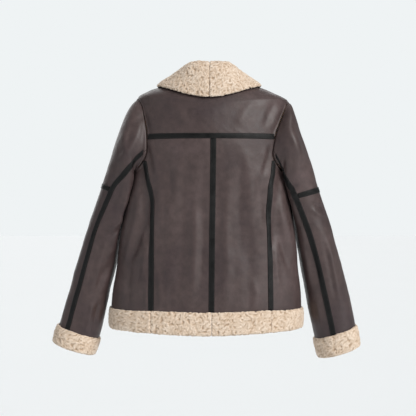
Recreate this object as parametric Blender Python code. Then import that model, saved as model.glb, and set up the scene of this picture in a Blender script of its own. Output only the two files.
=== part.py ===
"""A short, hip-length jacket with a leather-like face, a pile collar, pile hem band and pile cuffs.

The jacket is filled out and hollow, as when worn, with no wearer. It is sewn from panels: each
panel is a wall of cloth between two surfaces, and each seam leaves a gap of SEAM_GAP between
its two pieces. +Z is up, the back faces +Y, and the jacket's own left side is at +X. The
origin is between the shoulders, level with the neck. All sizes are in millimetres, and MM
turns them into metres where a mesh is made.
"""

import math

import bmesh
import bpy
import numpy as np
from mathutils import Matrix, Vector

MM = 0.001

# Driving dimensions
WALL = 5.0  # leather-like face and the pile inside
SEAM_GAP = 0.3
TAPE_HALF_WIDTH = 6.5
TAPE_THICKNESS = 1.2
HEM_BAND_HEIGHT = 45.0
CUFF_STATIONS = (11.0, 10.6, 10.2)
BAND_PILE = 5.0
COLLAR_PILE = 8.0

HEM_LEVEL = -566.0
YOKE_LEVEL = -122.0
NECK_LEVEL = 8.0

ZIP_CHANNEL_HALF = 7.0  # from the centre front to the edge of each front
ZIP_TAPE_WIDTH = 16.0
ZIP_TAPE_THICKNESS = 1.0
ZIP_CHAIN_HALF = 3.0
ZIP_CHAIN_THICKNESS = 3.0
ZIP_CHAIN_BACK = -4.5  # its back, measured out of the fronts' outer face

LEFT = 1
RIGHT = -1
SIDE_NAMES = {LEFT: "left", RIGHT: "right"}

# The armholes' highest and lowest places
ARMHOLE_TOP = {LEFT: -24.0, RIGHT: -32.0}
ARMHOLE_LOW = -205.0
ARMHOLE_MIDDLE = {side: (ARMHOLE_TOP[side] + ARMHOLE_LOW) / 2 for side in (LEFT, RIGHT)}
ARMHOLE_HALF = {side: (ARMHOLE_TOP[side] - ARMHOLE_LOW) / 2 for side in (LEFT, RIGHT)}

# The body's rings, from the hem to the neck. A ring's level is its height at the side seams.
BODY_COLUMNS = (
    "level", "half_width", "shift", "depth_back", "depth_front", "rise_back", "rise_front", "square",
)
BODY_RINGS = (
    (-600, 229, 12.5, 119, 113, -6, -4, 2.25),
    (-566, 228, 12.0, 118, 112, -6, -4, 2.25),
    (-500, 226, 10.5, 115, 109, -3, -2, 2.25),
    (-430, 217, 8.5, 111, 106, 0, 0, 2.25),
    (-340, 206, 6.5, 108, 107, 0, 0, 2.25),
    (-250, 193, 6.0, 109, 114, 0, 0, 2.25),
    (-190, 186, 5.0, 112, 119, 0, 0, 2.20),
    (-150, 182, 3.0, 113, 117, 0, -2, 2.15),
    (-115, 178, 0.0, 111, 110, -2, -8, 2.10),
    (-75, 177, -3.5, 105, 97, -7, -22, 2.05),
    (-45, 178, -5.5, 99, 86, -13, -38, 2.0),
    (-33, 178, -4.5, 95.5, 81, -16, -46, 2.0),
    (-24, 171, 1.0, 93, 77.5, -18.5, -52, 2.0),
    (-14.4, 153.6, 4.8, 89.7, 73.7, -20, -58, 2.0),
    (-7.2, 136.8, 4.8, 86, 70, -19.3, -63.5, 2.0),
    (-1, 119.5, 4.5, 81, 67, -16.5, -67.5, 2.0),
    (4, 101, 4.0, 75, 64, -12, -71, 2.0),
    (8, 80, 3.5, 67, 62, -7, -74, 2.0),
)

# Seams that run down the body: the distance of each from the middle plane, by level.
SEAM_COLUMNS = (
    "level", "centre_back", "centre_front", "side_back_left", "side_back_right", "side_front",
)
SEAM_PLACES = (
    (-600, 0.0, 5.0, 137, 133, 146),
    (-527, -0.5, 4.0, 137, 137, 146),
    (-340, -2.5, 2.0, 137, 135, 146),
    (-281, -3.5, 1.5, 138, 134, 147),
    (-246, -4.0, 1.2, 141, 134, 150),
    (-205, -4.3, 0.8, 149, 142, 155),
    (-165, -4.7, 0.5, 158, 147, 160),
    (-110, -5.0, 0.2, 166, 152, 166),
    (8, -5.0, 3.0, 170, 160, 170),
)

# The armhole, by the turn about it: 0 at the shoulder, 90 at the back or front, 180 below.
# Its width is the angle from the body's side, in degrees.
ARMHOLE_COLUMNS = ("turn", "back", "front")
ARMHOLE_PLACES = (
    (0, 0.0, 0.0), (30, 8.0, 8.0), (60, 15.5, 17.0), (90, 23.0, 26.0),
    (120, 26.5, 29.0), (150, 19.5, 22.0), (180, 0.0, 0.0),
)

# The sleeves' sections, from the armhole to the cuff: the outer and the inner edge of each,
# seen from behind, and its depth, its middle from front to back, and how square it is.
SLEEVE_COLUMNS = ("station", "out_x", "out_z", "in_x", "in_z", "depth", "middle", "square")
SLEEVE_SECTIONS = {
    LEFT: (
        (0, 172, -24, 190, -205, 74, 0, 2.0),
        (1, 187, -38, 178, -211, 75, 2, 2.0),
        (2, 204, -66, 170, -219, 75, 4, 2.05),
        (3, 217, -100, 164, -227, 75, 4, 2.1),
        (4, 230, -138, 159, -236, 72, 4, 2.15),
        (5, 245, -185, 155, -248, 65, 4, 2.15),
        (6, 262, -238, 158, -276, 58, 1, 2.15),
        (7, 293, -325, 193, -360, 50, -3, 2.1),
        (8, 315, -396, 218, -426, 47, -7, 2.1),
        (9, 334, -460, 239.5, -489, 46, -10, 2.1),
        (10, 362, -556, 267, -588, 45.5, -13, 2.1),
        (11, 378, -604, 282, -636, 46, -14, 2.1),
    ),
    RIGHT: (
        (0, 184, -32, 184, -205, 74, 0, 2.0),
        (1, 192, -41, 170, -211, 76, 4, 2.05),
        (2, 201, -68, 158, -219, 76, 7, 2.1),
        (3, 212, -102, 151, -227, 75, 7, 2.1),
        (4, 226, -142, 149, -236, 71, 6, 2.05),
        (5, 240.5, -185, 149, -246, 65, 4, 2.05),
        (6, 257, -240, 155, -270, 58, 1, 2.15),
        (7, 286.5, -330, 186, -359, 50, -3, 2.1),
        (8, 306, -396, 207, -424, 49, -7, 2.1),
        (9, 323.5, -460, 223.5, -488, 48.5, -10, 2.1),
        (10, 345, -556, 248, -588, 48, -13, 2.1),
        (11, 355, -613, 260, -642, 48.5, -14, 2.1),
    ),
}

# The sleeves' two seams, as turns about the section: 0 outside, 90 behind, 180 at the body.
SLEEVE_SEAM_COLUMNS = ("station", "elbow_left", "elbow_right", "front")
SLEEVE_SEAM_PLACES = (
    (0, 114, 122, 254),
    (0.35, 115, 128.5, 254),
    (1, 117.5, 133, 254.3),
    (2, 117, 135, 255),
    (3, 110, 132, 256),
    (4, 98.5, 126, 257),
    (5, 84, 116, 257.5),
    (6, 63.5, 103, 258),
    (7, 58, 97, 258),
    (8, 60, 98.5, 258),
    (11, 62, 104, 258),
)
ELBOW_STATION = {LEFT: 5.95, RIGHT: 6.05}

# The collar, by the way round the neck: 0 at the centre back, 90 at the side. The leaf's edge
# lies on the body at edge_level and edge_angle, and the fold stands over the neck seam.
COLLAR_COLUMNS = (
    "around", "edge_level", "edge_angle", "fold_rise", "fold_out", "leaf_round", "leaf_bow",
)
COLLAR_PLACES = (
    (0, -16.0, 90, 49, 4, 0.30, 9),
    (18, -15.0, 72, 49.5, 4, 0.30, 9),
    (34, -12.8, 57, 48, 4, 0.26, 8),
    (45, -10.0, 44, 42, 3.5, 0.20, 6),
    (60, -6.0, 29, 32, 2, 0.14, 3),
    (90, -1.5, -2, 22, 0, 0.12, 2),
    (120, -22.0, -28, 20, 2, 0.20, 9),
    (150, -78.0, -50, 19, 2, 0.30, 11),
    (172, -128.0, -66, 18, 2, 0.30, 11),
)

# The largest folds: each runs from one angle and height on the body to another, and then come
# its half width and its rise over the cloth, below zero for a trough.
BODY_FOLDS = (
    (30, -205, 6, -420, 24, 7.0),
    (36, -235, 16, -440, 15, -6.0),
    (58, -150, 48, -330, 16, 4.0),
    (45, -170, 50, -300, 12, -4.0),
    (74, -300, 70, -540, 20, 3.5),
    (83, -180, 80, -480, 18, -3.0),
    (48, -400, 52, -550, 15, 4.0),
    (106, -300, 109, -550, 20, 3.5),
    (98, -170, 101, -430, 18, -3.0),
    (126, -150, 134, -300, 16, 3.5),
    (134, -330, 130, -540, 16, -3.5),
    (150, -205, 174, -410, 24, 6.0),
    (143, -225, 163, -430, 14, -5.0),
    (-30, -205, -10, -430, 24, 6.0),
    (-60, -180, -66, -520, 22, 4.0),
    (-120, -190, -112, -520, 22, 4.0),
    (-150, -205, -168, -420, 24, 6.0),
)
# On a sleeve they run from one turn and station to another.
SLEEVE_FOLDS = {
    LEFT: (
        (70, 2.2, 96, 6.2, 15, 4.0),
        (118, 1.6, 122, 6.0, 13, -5.0),
        (62, 6.4, 88, 9.2, 13, 3.0),
        (140, 7.4, 104, 9.6, 12, -3.5),
        (300, 2.0, 285, 6.5, 16, 4.0),
        (262, 6.5, 290, 9.0, 13, -3.5),
    ),
    RIGHT: (
        (62, 2.2, 84, 5.9, 15, 4.0),
        (116, 1.6, 126, 6.0, 13, -5.0),
        (70, 6.6, 58, 9.4, 14, 3.0),
        (128, 6.6, 112, 9.4, 12, -3.5),
        (300, 2.0, 285, 6.5, 16, 4.0),
        (262, 6.5, 290, 9.0, 13, -3.5),
    ),
}


# Smooth curves through the tables

def smooth_curve(places, values):
    """A curve through the values that never swings past them between two places."""
    places = np.asarray(places, float)
    values = np.asarray(values, float)
    steps = np.diff(places)
    slopes = np.diff(values) / steps
    tangents = np.zeros(len(places))
    tangents[0] = slopes[0]
    tangents[-1] = slopes[-1]
    same_way = slopes[:-1] * slopes[1:] > 0
    weight_1 = 2 * steps[1:] + steps[:-1]
    weight_2 = steps[1:] + 2 * steps[:-1]
    safe_1 = np.where(same_way, slopes[:-1], 1.0)
    safe_2 = np.where(same_way, slopes[1:], 1.0)
    middle = (weight_1 + weight_2) / (weight_1 / safe_1 + weight_2 / safe_2)
    tangents[1:-1] = np.where(same_way, middle, 0.0)

    def curve(at):
        at = np.asarray(at, float)
        index = np.clip(np.searchsorted(places, at) - 1, 0, len(steps) - 1)
        step = steps[index]
        u = (at - places[index]) / step
        inside = np.clip(u, 0, 1)
        past = (u - inside) * step
        square, cube = inside**2, inside**3
        return (
            (2 * cube - 3 * square + 1) * values[index]
            + (cube - 2 * square + inside) * step * tangents[index]
            + (3 * square - 2 * cube) * values[index + 1]
            + (cube - square) * step * tangents[index + 1]
            + past * tangents[np.where(u < 0, index, index + 1)]
        )

    return curve


def smooth_columns(names, rows):
    """One smooth curve for each named column of a table, over its first column."""
    table = np.array(rows, float)
    return {name: smooth_curve(table[:, 0], table[:, k]) for k, name in enumerate(names) if k}


def ease(value, low, high):
    """0 at low, 1 at high, and smooth between them."""
    u = np.clip((value - low) / (high - low), 0, 1)
    return u * u * (3 - 2 * u)


BODY = smooth_columns(BODY_COLUMNS, BODY_RINGS)
SEAMS = smooth_columns(SEAM_COLUMNS, SEAM_PLACES)
ARMHOLE = smooth_columns(ARMHOLE_COLUMNS, ARMHOLE_PLACES)
SLEEVES = {side: smooth_columns(SLEEVE_COLUMNS, SLEEVE_SECTIONS[side]) for side in (LEFT, RIGHT)}
SLEEVE_SEAMS = smooth_columns(SLEEVE_SEAM_COLUMNS, SLEEVE_SEAM_PLACES)
COLLAR = smooth_columns(COLLAR_COLUMNS, COLLAR_PLACES)


# The body's surface

def fold_height(u, v, start_u, start_v, end_u, end_v, half_width, rise):
    """How far one fold lifts the cloth at (u, v), all in millimetres."""
    along_u, along_v = end_u - start_u, end_v - start_v
    length = np.hypot(along_u, along_v)
    share = ((u - start_u) * along_u + (v - start_v) * along_v) / length**2
    across = ((u - start_u) * along_v - (v - start_v) * along_u) / length
    bend = 0.35 * half_width * np.sin(3.0 * share + rise)
    taper = ease(share, -0.12, 0.30) * ease(share, 1.12, 0.62)
    return rise * taper * np.exp(-(((across - bend) / half_width) ** 2))


def body_folds(angle, height):
    """The folds' height over the body at an angle in radians and a height."""
    around = 165.0
    total = np.zeros(np.broadcast(angle, height).shape)
    for angle_1, height_1, angle_2, height_2, half_width, rise in BODY_FOLDS:
        start, end = math.radians(angle_1), math.radians(angle_2)
        beyond = np.mod(angle - start + math.pi, 2 * math.pi) - math.pi
        total = total + fold_height(
            beyond * around, height, 0.0, height_1, (end - start) * around, height_2,
            half_width, rise,
        )
    return total


def body_radius(angle, level):
    """How far the body's ring lies from its own middle, seen from above."""
    across, deep = np.abs(np.cos(angle)), np.abs(np.sin(angle))
    depth = np.where(np.sin(angle) > 0, BODY["depth_back"](level), BODY["depth_front"](level))
    square = BODY["square"](level)
    round_it = (across / BODY["half_width"](level)) ** square + (deep / depth) ** square
    return round_it ** (-1 / square) + body_folds(angle, level)


def body_point(angle, level):
    """The body's outer surface. The angle runs from the left side (0) over the back (90 degrees)."""
    radius = body_radius(angle, level)
    rise = np.where(np.sin(angle) > 0, BODY["rise_back"](level), BODY["rise_front"](level))
    return np.stack(
        np.broadcast_arrays(
            BODY["shift"](level) + radius * np.cos(angle),
            radius * np.sin(angle),
            level + rise * np.sin(angle) ** 2,
        ),
        axis=-1,
    )


def unit(vectors):
    return vectors / np.maximum(np.linalg.norm(vectors, axis=-1, keepdims=True), 1e-9)


def body_normal(angle, level):
    step_angle, step_level = 0.004, 0.7
    around = body_point(angle + step_angle, level) - body_point(angle - step_angle, level)
    upward = body_point(angle, level + step_level) - body_point(angle, level - step_level)
    return unit(np.cross(around, upward))


def angle_at(across, level, front=False):
    """The angle of the ring's point at this distance from the middle plane."""
    square = BODY["square"](level)
    share = np.clip(np.abs(across - BODY["shift"](level)) / BODY["half_width"](level), 0, 0.9999)
    depth = BODY["depth_front"](level) if front else BODY["depth_back"](level)
    deep = depth * (1 - share**square) ** (1 / square)
    return np.arctan2(-deep if front else deep, across - BODY["shift"](level))


def side_angle(angle, side):
    """An angle measured from the left side, mirrored for the right."""
    return angle if side == LEFT else math.pi - angle


def armhole_place(turn, side):
    """The angle and level of the armhole's edge. The turn is in degrees, and over 180 in front."""
    turn = np.asarray(turn, float)
    folded = np.where(turn > 180, 360 - turn, turn)
    width = np.where(turn > 180, -ARMHOLE["front"](folded), ARMHOLE["back"](folded))
    angle = np.radians(width)
    height = ARMHOLE_MIDDLE[side] + ARMHOLE_HALF[side] * np.cos(np.radians(folded))
    level = height.copy()
    for _ in range(20):
        level = level + height - body_point(side_angle(angle, side), level)[..., 2]
    return side_angle(angle, side), level


def seam_angle(name, level, side=LEFT, front=False):
    """The angle of a seam at a level. The centre seams' distances are measured to the left."""
    return angle_at(side * SEAMS[name](level), level, front)


def seam_name(side):
    return "side_back_" + SIDE_NAMES[side]


def meeting_turn(side, front=False):
    """The armhole's turn where the side-back or the side-front seam meets it."""
    low, high = (100.0, 176.0) if not front else (184.0, 260.0)
    name = "side_front" if front else seam_name(side)
    for _ in range(40):
        middle = (low + high) / 2
        angle, level = armhole_place(middle, side)
        beyond = math.cos(angle) - math.cos(seam_angle(name, level, side, front))
        outside = beyond * side > 0
        if outside != front:
            high = middle
        else:
            low = middle
    return (low + high) / 2


BACK_MEETING = {side: meeting_turn(side) for side in (LEFT, RIGHT)}
FRONT_MEETING = {side: meeting_turn(side, front=True) for side in (LEFT, RIGHT)}


# Walls of cloth, from grids of points

class Grid:
    """Rows and columns of points on a surface, with a direction out of it at each."""

    def __init__(self, points, normals):
        self.points = points
        self.normals = normals

    def moved(self, distance):
        return self.points + self.normals * np.asarray(distance)[..., None]

    def part(self, rows=slice(None), columns=slice(None)):
        return Grid(self.points[rows, columns], self.normals[rows, columns])

    def flipped(self):
        return Grid(self.points[:, ::-1], self.normals[:, ::-1])


def joined(first, second):
    """Two grids side by side, whose shared edge becomes one column between them."""
    edge = (first.points[:, -1:] + second.points[:, :1]) / 2
    edge_normals = unit(first.normals[:, -1:] + second.normals[:, :1])
    return Grid(
        np.concatenate([first.points[:, :-1], edge, second.points[:, 1:]], axis=1),
        np.concatenate([first.normals[:, :-1], edge_normals, second.normals[:, 1:]], axis=1),
    )


def body_grid(angle, level):
    return Grid(body_point(angle, level), body_normal(angle, level))


def new_object(name, material, vertices, faces):
    """One named closed mesh, smooth apart from its edges."""
    mesh = bpy.data.meshes.new(name)
    mesh.from_pydata((np.asarray(vertices) * MM).tolist(), [], faces)
    shape = bmesh.new()
    shape.from_mesh(mesh)
    bmesh.ops.recalc_face_normals(shape, faces=shape.faces)
    shape.to_mesh(mesh)
    shape.free()
    mesh.shade_smooth()
    mesh.set_sharp_from_angle(angle=math.radians(50))
    mesh.materials.append(material)
    piece = bpy.data.objects.new(name, mesh)
    JACKET.objects.link(piece)
    return piece


SLANT = np.array([0.37, 0.21, 1.0])  # orders points the same way on both sides of a seam


def split_facing(corners, points, out):
    """Splits a four-sided face along the diagonal that lies further out."""
    first, second, third, fourth = corners
    one_way = points[first] + points[third]
    other_way = points[second] + points[fourth]
    if (one_way - other_way).dot(out) >= 0:
        return [[first, second, third], [first, third, fourth]]
    return [[first, second, fourth], [second, third, fourth]]


def split_rim(outer_1, outer_2, inner_1, inner_2, points):
    """Splits a face between a wall's two sides, as the facing rim of the next panel is split."""
    if points[outer_1].dot(SLANT) < points[outer_2].dot(SLANT):
        return [[outer_1, inner_1, inner_2], [outer_1, inner_2, outer_2]]
    return [[outer_1, inner_1, outer_2], [inner_1, inner_2, outer_2]]


def wall(name, material, outer, inner):
    """A closed wall between two grids of the same size."""
    rows, columns = outer.shape[:2]
    points = np.concatenate([outer.reshape(-1, 3), inner.reshape(-1, 3)])
    count = rows * columns
    faces = []
    for row in range(rows - 1):
        for column in range(columns - 1):
            low = row * columns + column
            corners = (low, low + 1, low + columns + 1, low + columns)
            out = np.sum(points[list(corners)] - points[[k + count for k in corners]], axis=0)
            for triangle in split_facing(corners, points, out):
                faces.append(triangle)
                faces.append([k + count for k in reversed(triangle)])
    edge = list(range(columns))
    edge += [row * columns + columns - 1 for row in range(1, rows)]
    edge += [(rows - 1) * columns + column for column in range(columns - 2, -1, -1)]
    edge += [row * columns for row in range(rows - 2, 0, -1)]
    for here, there in zip(edge, edge[1:] + edge[:1]):
        faces += split_rim(here, there, here + count, there + count, points)
    return new_object(name, material, points, faces)


def sweep(name, material, sections, outs):
    """A solid through closed sections of the same number of points, with a way out for each."""
    sections = np.asarray(sections)
    count, size = sections.shape[:2]
    points = sections.reshape(-1, 3)
    faces = []
    for section in range(count - 1):
        for k in range(size):
            here, beside = section * size + k, section * size + (k + 1) % size
            corners = (here, beside, beside + size, here + size)
            faces += split_facing(corners, points, outs[section] + outs[section + 1])
    faces.append(list(range(size - 1, -1, -1)))
    faces.append([(count - 1) * size + k for k in range(size)])
    return new_object(name, material, points, faces)


def panel(name, material, grid, seam_moves=None):
    """A panel of the body or of a sleeve: its wall lies inside the surface."""
    inner = grid.moved(-WALL)
    if seam_moves is not None:
        inner = grid.points + seam_moves
    return wall(name, material, grid.points, inner)


def tape(name, material, grid):
    """A tape on the panels' own points, moved out."""
    return wall(name, material, grid.moved(SEAM_GAP + TAPE_THICKNESS), grid.moved(SEAM_GAP))


# Panels of the body

HEM_ROWS = (HEM_LEVEL, HEM_LEVEL + HEM_BAND_HEIGHT / 2, HEM_LEVEL + HEM_BAND_HEIGHT)
MIDDLE_ROWS = (-478, -436, -394, -352, -312, -274, -240, -208)
ELBOW_SEAM_TOP = -155.0  # where a sleeve's elbow seam meets the armhole
ELBOW_SEAM_ROWS = tuple(ELBOW_SEAM_TOP + up for up in (-TAPE_HALF_WIDTH, 0.0, TAPE_HALF_WIDTH))
NECK_ROWS = (-16.0, -5.0, NECK_LEVEL)
HALF_GAP = SEAM_GAP / 2
BACK_COLUMNS = 6
SIDE_COLUMNS = 8
FRONT_COLUMNS = 5


def meeting_level(side, front=False):
    turn = FRONT_MEETING[side] if front else BACK_MEETING[side]
    return float(armhole_place(turn, side)[1])


def armhole_turn(level, side, front=False):
    """The turn at which the armhole's back or front edge is at this level."""
    turns = np.linspace(180, 360, 181) if front else np.linspace(180, 0, 181)
    levels = armhole_place(turns, side)[1]
    return float(np.interp(level, levels, turns))


def edge_at(turn, side, grow=HALF_GAP):
    """The armhole's edge, moved out of the armhole by about grow millimetres."""
    angle, level = armhole_place(turn, side)
    from_side = angle if side == LEFT else math.pi - angle
    from_side = from_side * (1 + grow / 75.0)
    level = level + (level - ARMHOLE_MIDDLE[side]) * grow / ARMHOLE_HALF[side]
    return side_angle(from_side, side), level


def angle_step(angle, level, distance):
    """The angle that moves a point of the ring by a distance along it."""
    nearby = 0.002
    moved = body_point(angle + nearby, level) - body_point(angle - nearby, level)
    return distance * 2 * nearby / np.linalg.norm(moved, axis=-1)


def columns_between(start, end, level, count, first_strip, last_strip):
    """Angles across a panel, with a strip of its own width along each edge."""
    way = np.sign(end - start)
    first = start + way * angle_step(start, level, HALF_GAP)
    second = start + way * angle_step(start, level, first_strip)
    last = end - way * angle_step(end, level, HALF_GAP)
    before_last = end - way * angle_step(end, level, last_strip)
    shares = np.linspace(0, 1, count + 1)
    inside = [second + (before_last - second) * share for share in shares]
    return np.stack([first, *inside, last], axis=-1)


def back_rows():
    meetings = sorted(meeting_level(side) for side in (LEFT, RIGHT))
    top = (YOKE_LEVEL - TAPE_HALF_WIDTH, YOKE_LEVEL - HALF_GAP)
    return np.array([*HEM_ROWS, *MIDDLE_ROWS, *meetings, *ELBOW_SEAM_ROWS, *top])


def back_angles(side):
    """The angles of a back panel's points, from the centre back outwards, and its levels."""
    levels = back_rows()
    meeting = meeting_level(side)
    outer = []
    for level in levels:
        if level <= meeting:
            outer.append(float(seam_angle(seam_name(side), level, side)))
        else:
            outer.append(float(edge_at(armhole_turn(level, side), side, 0)[0]))
    centre = seam_angle("centre_back", levels)
    angles = columns_between(
        centre, np.array(outer), levels, BACK_COLUMNS, TAPE_HALF_WIDTH, TAPE_HALF_WIDTH
    )
    return angles, levels


def back_panel(side):
    angles, levels = back_angles(side)
    meeting = meeting_level(side)
    grid = body_grid(angles, np.broadcast_to(levels[:, None], angles.shape))
    moves = grid.normals * -WALL
    for row, level in enumerate(levels):
        if level > meeting:
            moves[row, -1] = armhole_moves(armhole_turn(level, side), side)[0]
    return grid, moves


def side_top(side):
    """The columns of a side panel along the armhole: their turns, and their shares across it."""
    strip = TAPE_HALF_WIDTH / 175.0
    turns = np.linspace(BACK_MEETING[side], FRONT_MEETING[side], 721)
    top_angle = edge_at(turns, side)[0]
    from_side = top_angle if side == LEFT else math.pi - top_angle
    first, last = from_side[0], from_side[-1]
    wanted = np.linspace(first - strip, last + strip, SIDE_COLUMNS + 1)
    wanted = np.concatenate([[first], wanted, [last]])
    return np.interp(-wanted, -from_side, turns), (wanted - first) / (last - first)


def side_panel(side):
    """The panel under the armhole. Its columns run from the side-back to the side-front seam."""
    turns, share = side_top(side)
    column_angle, column_level = edge_at(turns, side)
    column_level[0], column_level[-1] = meeting_level(side), meeting_level(side, front=True)
    rows = np.array([level for level in back_rows() if level <= meeting_level(side) + 0.01])
    rise = (rows - HEM_LEVEL) / (rows[-1] - HEM_LEVEL)
    levels = HEM_LEVEL + rise[:, None] * (column_level - HEM_LEVEL)[None, :]
    start = seam_angle(seam_name(side), levels, side)
    end = seam_angle("side_front", levels, side, front=True)
    if side == RIGHT:
        end = np.where(end < 0, end + 2 * math.pi, end)
    way = -side
    angles = start + (end - start) * share[None, :]
    missed = column_angle - angles[-1]
    missed[[0, 1, -2, -1]] = 0
    angles = angles + missed[None, :] * rise[:, None] ** 8
    low, high = levels[:, :2], levels[:, -2:]
    steps = np.array([HALF_GAP, TAPE_HALF_WIDTH])
    angles[:, :2] = start[:, :2] + way * angle_step(start[:, :2], low, steps)
    angles[:, -2:] = end[:, -2:] - way * angle_step(end[:, -2:], high, steps[::-1])
    grid = body_grid(angles, levels)
    moves = grid.normals * -WALL
    for column, turn in enumerate(turns):
        moves[-1, column] = armhole_moves(turn, side)[0]
    return grid, moves


def shoulder_rows(side, start_turn, front):
    """The places of an upper panel's outer edge: up the armhole, then along the shoulder seam."""
    way = -1 if front else 1
    stop = 360.0 if front else 0.0
    steps = 6
    places = []
    turns = []
    for k in range(1, steps + 1):
        turn = start_turn + (stop - start_turn) * k / steps
        angle, level = edge_at(turn, side)
        from_side = float(angle if side == LEFT else math.pi - angle)
        least = float(angle_step(0.0, float(level), HALF_GAP))
        from_side = way * max(way * from_side, least)
        places.append((float(side_angle(from_side, side)), float(level)))
        turns.append(turn)
    for level in NECK_ROWS:
        from_side = way * float(angle_step(0.0, level, HALF_GAP))
        places.append((float(side_angle(from_side, side)), level))
        turns.append(None)
    return places, turns


def yoke_rows(side):
    """The yoke's edge on one side, and the turns of its points on the armhole."""
    low_turns = [armhole_turn(YOKE_LEVEL + up, side) for up in (HALF_GAP, TAPE_HALF_WIDTH)]
    places = [tuple(float(v) for v in edge_at(turn, side)) for turn in low_turns]
    more, turns = shoulder_rows(side, low_turns[1], front=False)
    return places + more, low_turns + turns


def yoke_shares():
    """The places of the yoke's columns across it, from -1 to 1: those of the backs below it."""
    seam_columns = [back_angles(side)[0][-1] for side in (LEFT, RIGHT)]
    centre = (seam_columns[0][0] + seam_columns[1][0]) / 2
    below = np.concatenate([seam_columns[0][:0:-1], [centre], seam_columns[1][1:]])
    return 2 * (below - below[0]) / (below[-1] - below[0]) - 1


def yoke_columns(side):
    """The angles, in degrees, of the yoke's points along the neck, from the centre back."""
    share = yoke_shares()
    angles = 90.0 + share * 90.0
    half = angles[share <= 1e-9][::-1] if side == LEFT else angles[share >= -1e-9]
    return half[:-1]


def yoke():
    """The back yoke, from one armhole to the other, up to the shoulder seams and the neck."""
    (left_places, left_turns), (right_places, right_turns) = yoke_rows(LEFT), yoke_rows(RIGHT)
    rows = len(left_places)
    centre_levels = np.concatenate(
        [[YOKE_LEVEL + HALF_GAP], np.linspace(YOKE_LEVEL + TAPE_HALF_WIDTH, NECK_LEVEL, rows - 1)]
    )
    share = yoke_shares()
    angles, levels = [], []
    for row in range(rows):
        (left_angle, left_level), (right_angle, right_level) = left_places[row], right_places[row]
        angles.append((left_angle + right_angle) / 2 + share * (right_angle - left_angle) / 2)
        edge_level = np.where(share < 0, left_level, right_level)
        levels.append(centre_levels[row] + (edge_level - centre_levels[row]) * np.abs(share) ** 1.7)
    grid = body_grid(np.array(angles), np.array(levels))
    moves = grid.normals * -WALL
    for side, column, turns in ((LEFT, 0, left_turns), (RIGHT, -1, right_turns)):
        for row, turn in enumerate(turns):
            if turn is not None:
                moves[row, column] = armhole_moves(turn, side)[0]
    return grid, moves


def front_low_levels(side):
    """The levels of a front's rows below the armhole, matched to those of the side panel."""
    meeting = meeting_level(side, front=True)
    back_levels = np.array([level for level in back_rows() if level <= meeting_level(side) + 0.01])
    rise = (back_levels - HEM_LEVEL) / (back_levels[-1] - HEM_LEVEL)
    return HEM_LEVEL + rise * (meeting - HEM_LEVEL)


def front_levels(side):
    """The levels of a front's rows at the zip."""
    low = front_low_levels(side)
    upper = len(shoulder_rows(side, FRONT_MEETING[side], front=True)[0])
    return np.concatenate([low, np.linspace(low[-1], NECK_LEVEL, upper + 1)[1:]])


def front_panel(side):
    """A front, from the zip to the side-front seam, the armhole and the shoulder seam."""
    low = front_low_levels(side)
    edge_angles = [float(seam_angle("side_front", level, side, front=True)) for level in low]
    edge_levels = list(low)
    turns = [None] * len(low)
    places, more_turns = shoulder_rows(side, FRONT_MEETING[side], front=True)
    for (angle, level), turn in zip(places, more_turns):
        edge_angles.append(angle if side == LEFT else angle - 2 * math.pi)
        edge_levels.append(level)
        turns.append(turn)
    edge_levels, edge_angles = np.array(edge_levels), np.array(edge_angles)
    centre_levels = front_levels(side)
    middle = seam_angle("centre_front", centre_levels, front=True)
    first = middle + side * angle_step(middle, centre_levels, ZIP_CHANNEL_HALF)
    second = middle + side * angle_step(middle, centre_levels, ZIP_TAPE_WIDTH)
    gap = angle_step(edge_angles, edge_levels, HALF_GAP)
    strip = angle_step(edge_angles, edge_levels, TAPE_HALF_WIDTH)
    on_seam = np.array([turn is None for turn in turns]) & (edge_levels < NECK_ROWS[0])
    last = edge_angles - side * np.where(on_seam, gap, 0.0)
    before_last = edge_angles - side * strip
    shares = np.linspace(0, 1, FRONT_COLUMNS + 1)
    inside = [second + (before_last - second) * share for share in shares]
    angles = np.stack([first, *inside, last], axis=-1)
    share = np.abs(angles - middle[:, None]) / np.abs(edge_angles - middle)[:, None]
    levels = centre_levels[:, None] + (edge_levels - centre_levels)[:, None] * share**1.7
    grid = body_grid(angles, levels)
    moves = grid.normals * -WALL
    for row, turn in enumerate(turns):
        if turn is not None:
            moves[row, -1] = armhole_moves(turn, side)[0]
    return grid, moves


def neck_columns(side):
    """The way round the neck, in degrees from the centre back, of each panel point there."""
    yoke_angles = yoke_columns(side)
    front = np.degrees(seam_angle("centre_front", NECK_LEVEL, front=True))
    edge = np.degrees(angle_step(np.radians(front), NECK_LEVEL, 1.0)) * side
    channel, facing = front + edge * ZIP_CHANNEL_HALF, front + edge * ZIP_TAPE_WIDTH
    shoulder = 0.0 if side == LEFT else -180.0
    strip = np.degrees(angle_step(0.0, NECK_LEVEL, TAPE_HALF_WIDTH))
    before_shoulder = shoulder - side * strip
    fronts = np.linspace(before_shoulder, facing, FRONT_COLUMNS + 1)
    angles = np.concatenate([yoke_angles, [shoulder], fronts, [channel]])
    return np.mod(side * (90.0 - angles), 360.0)


# Sleeves

SLEEVE_CLEARANCE = 3.4
SLEEVE_HALF_GAP = 0.3  # wider than the other seams' half, as a sleeve bends more sharply
SLEEVE_DEGREE = math.radians(1) * 50.0  # millimetres round a sleeve for a degree of turn
ARMHOLE_BLEND = 3.0  # stations over which a sleeve leaves the armhole's exact shape
UPPER_ROWS = (0.0, 0.35, 0.8, 1.4, 2.1, 2.9, 3.8, 4.6, 5.3)
LOWER_ROWS = (7.0, 8.0, 9.0)
EVEN_COLUMNS_FROM = 2.0  # the station where a sleeve's columns no longer follow the armhole's


def greater(first, second, softness):
    """The greater of two lengths, rounded where they are nearly alike."""
    share = np.clip(0.5 + (first - second) / (2 * softness), 0, 1)
    return second + (first - second) * share + softness * share * (1 - share)


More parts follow.
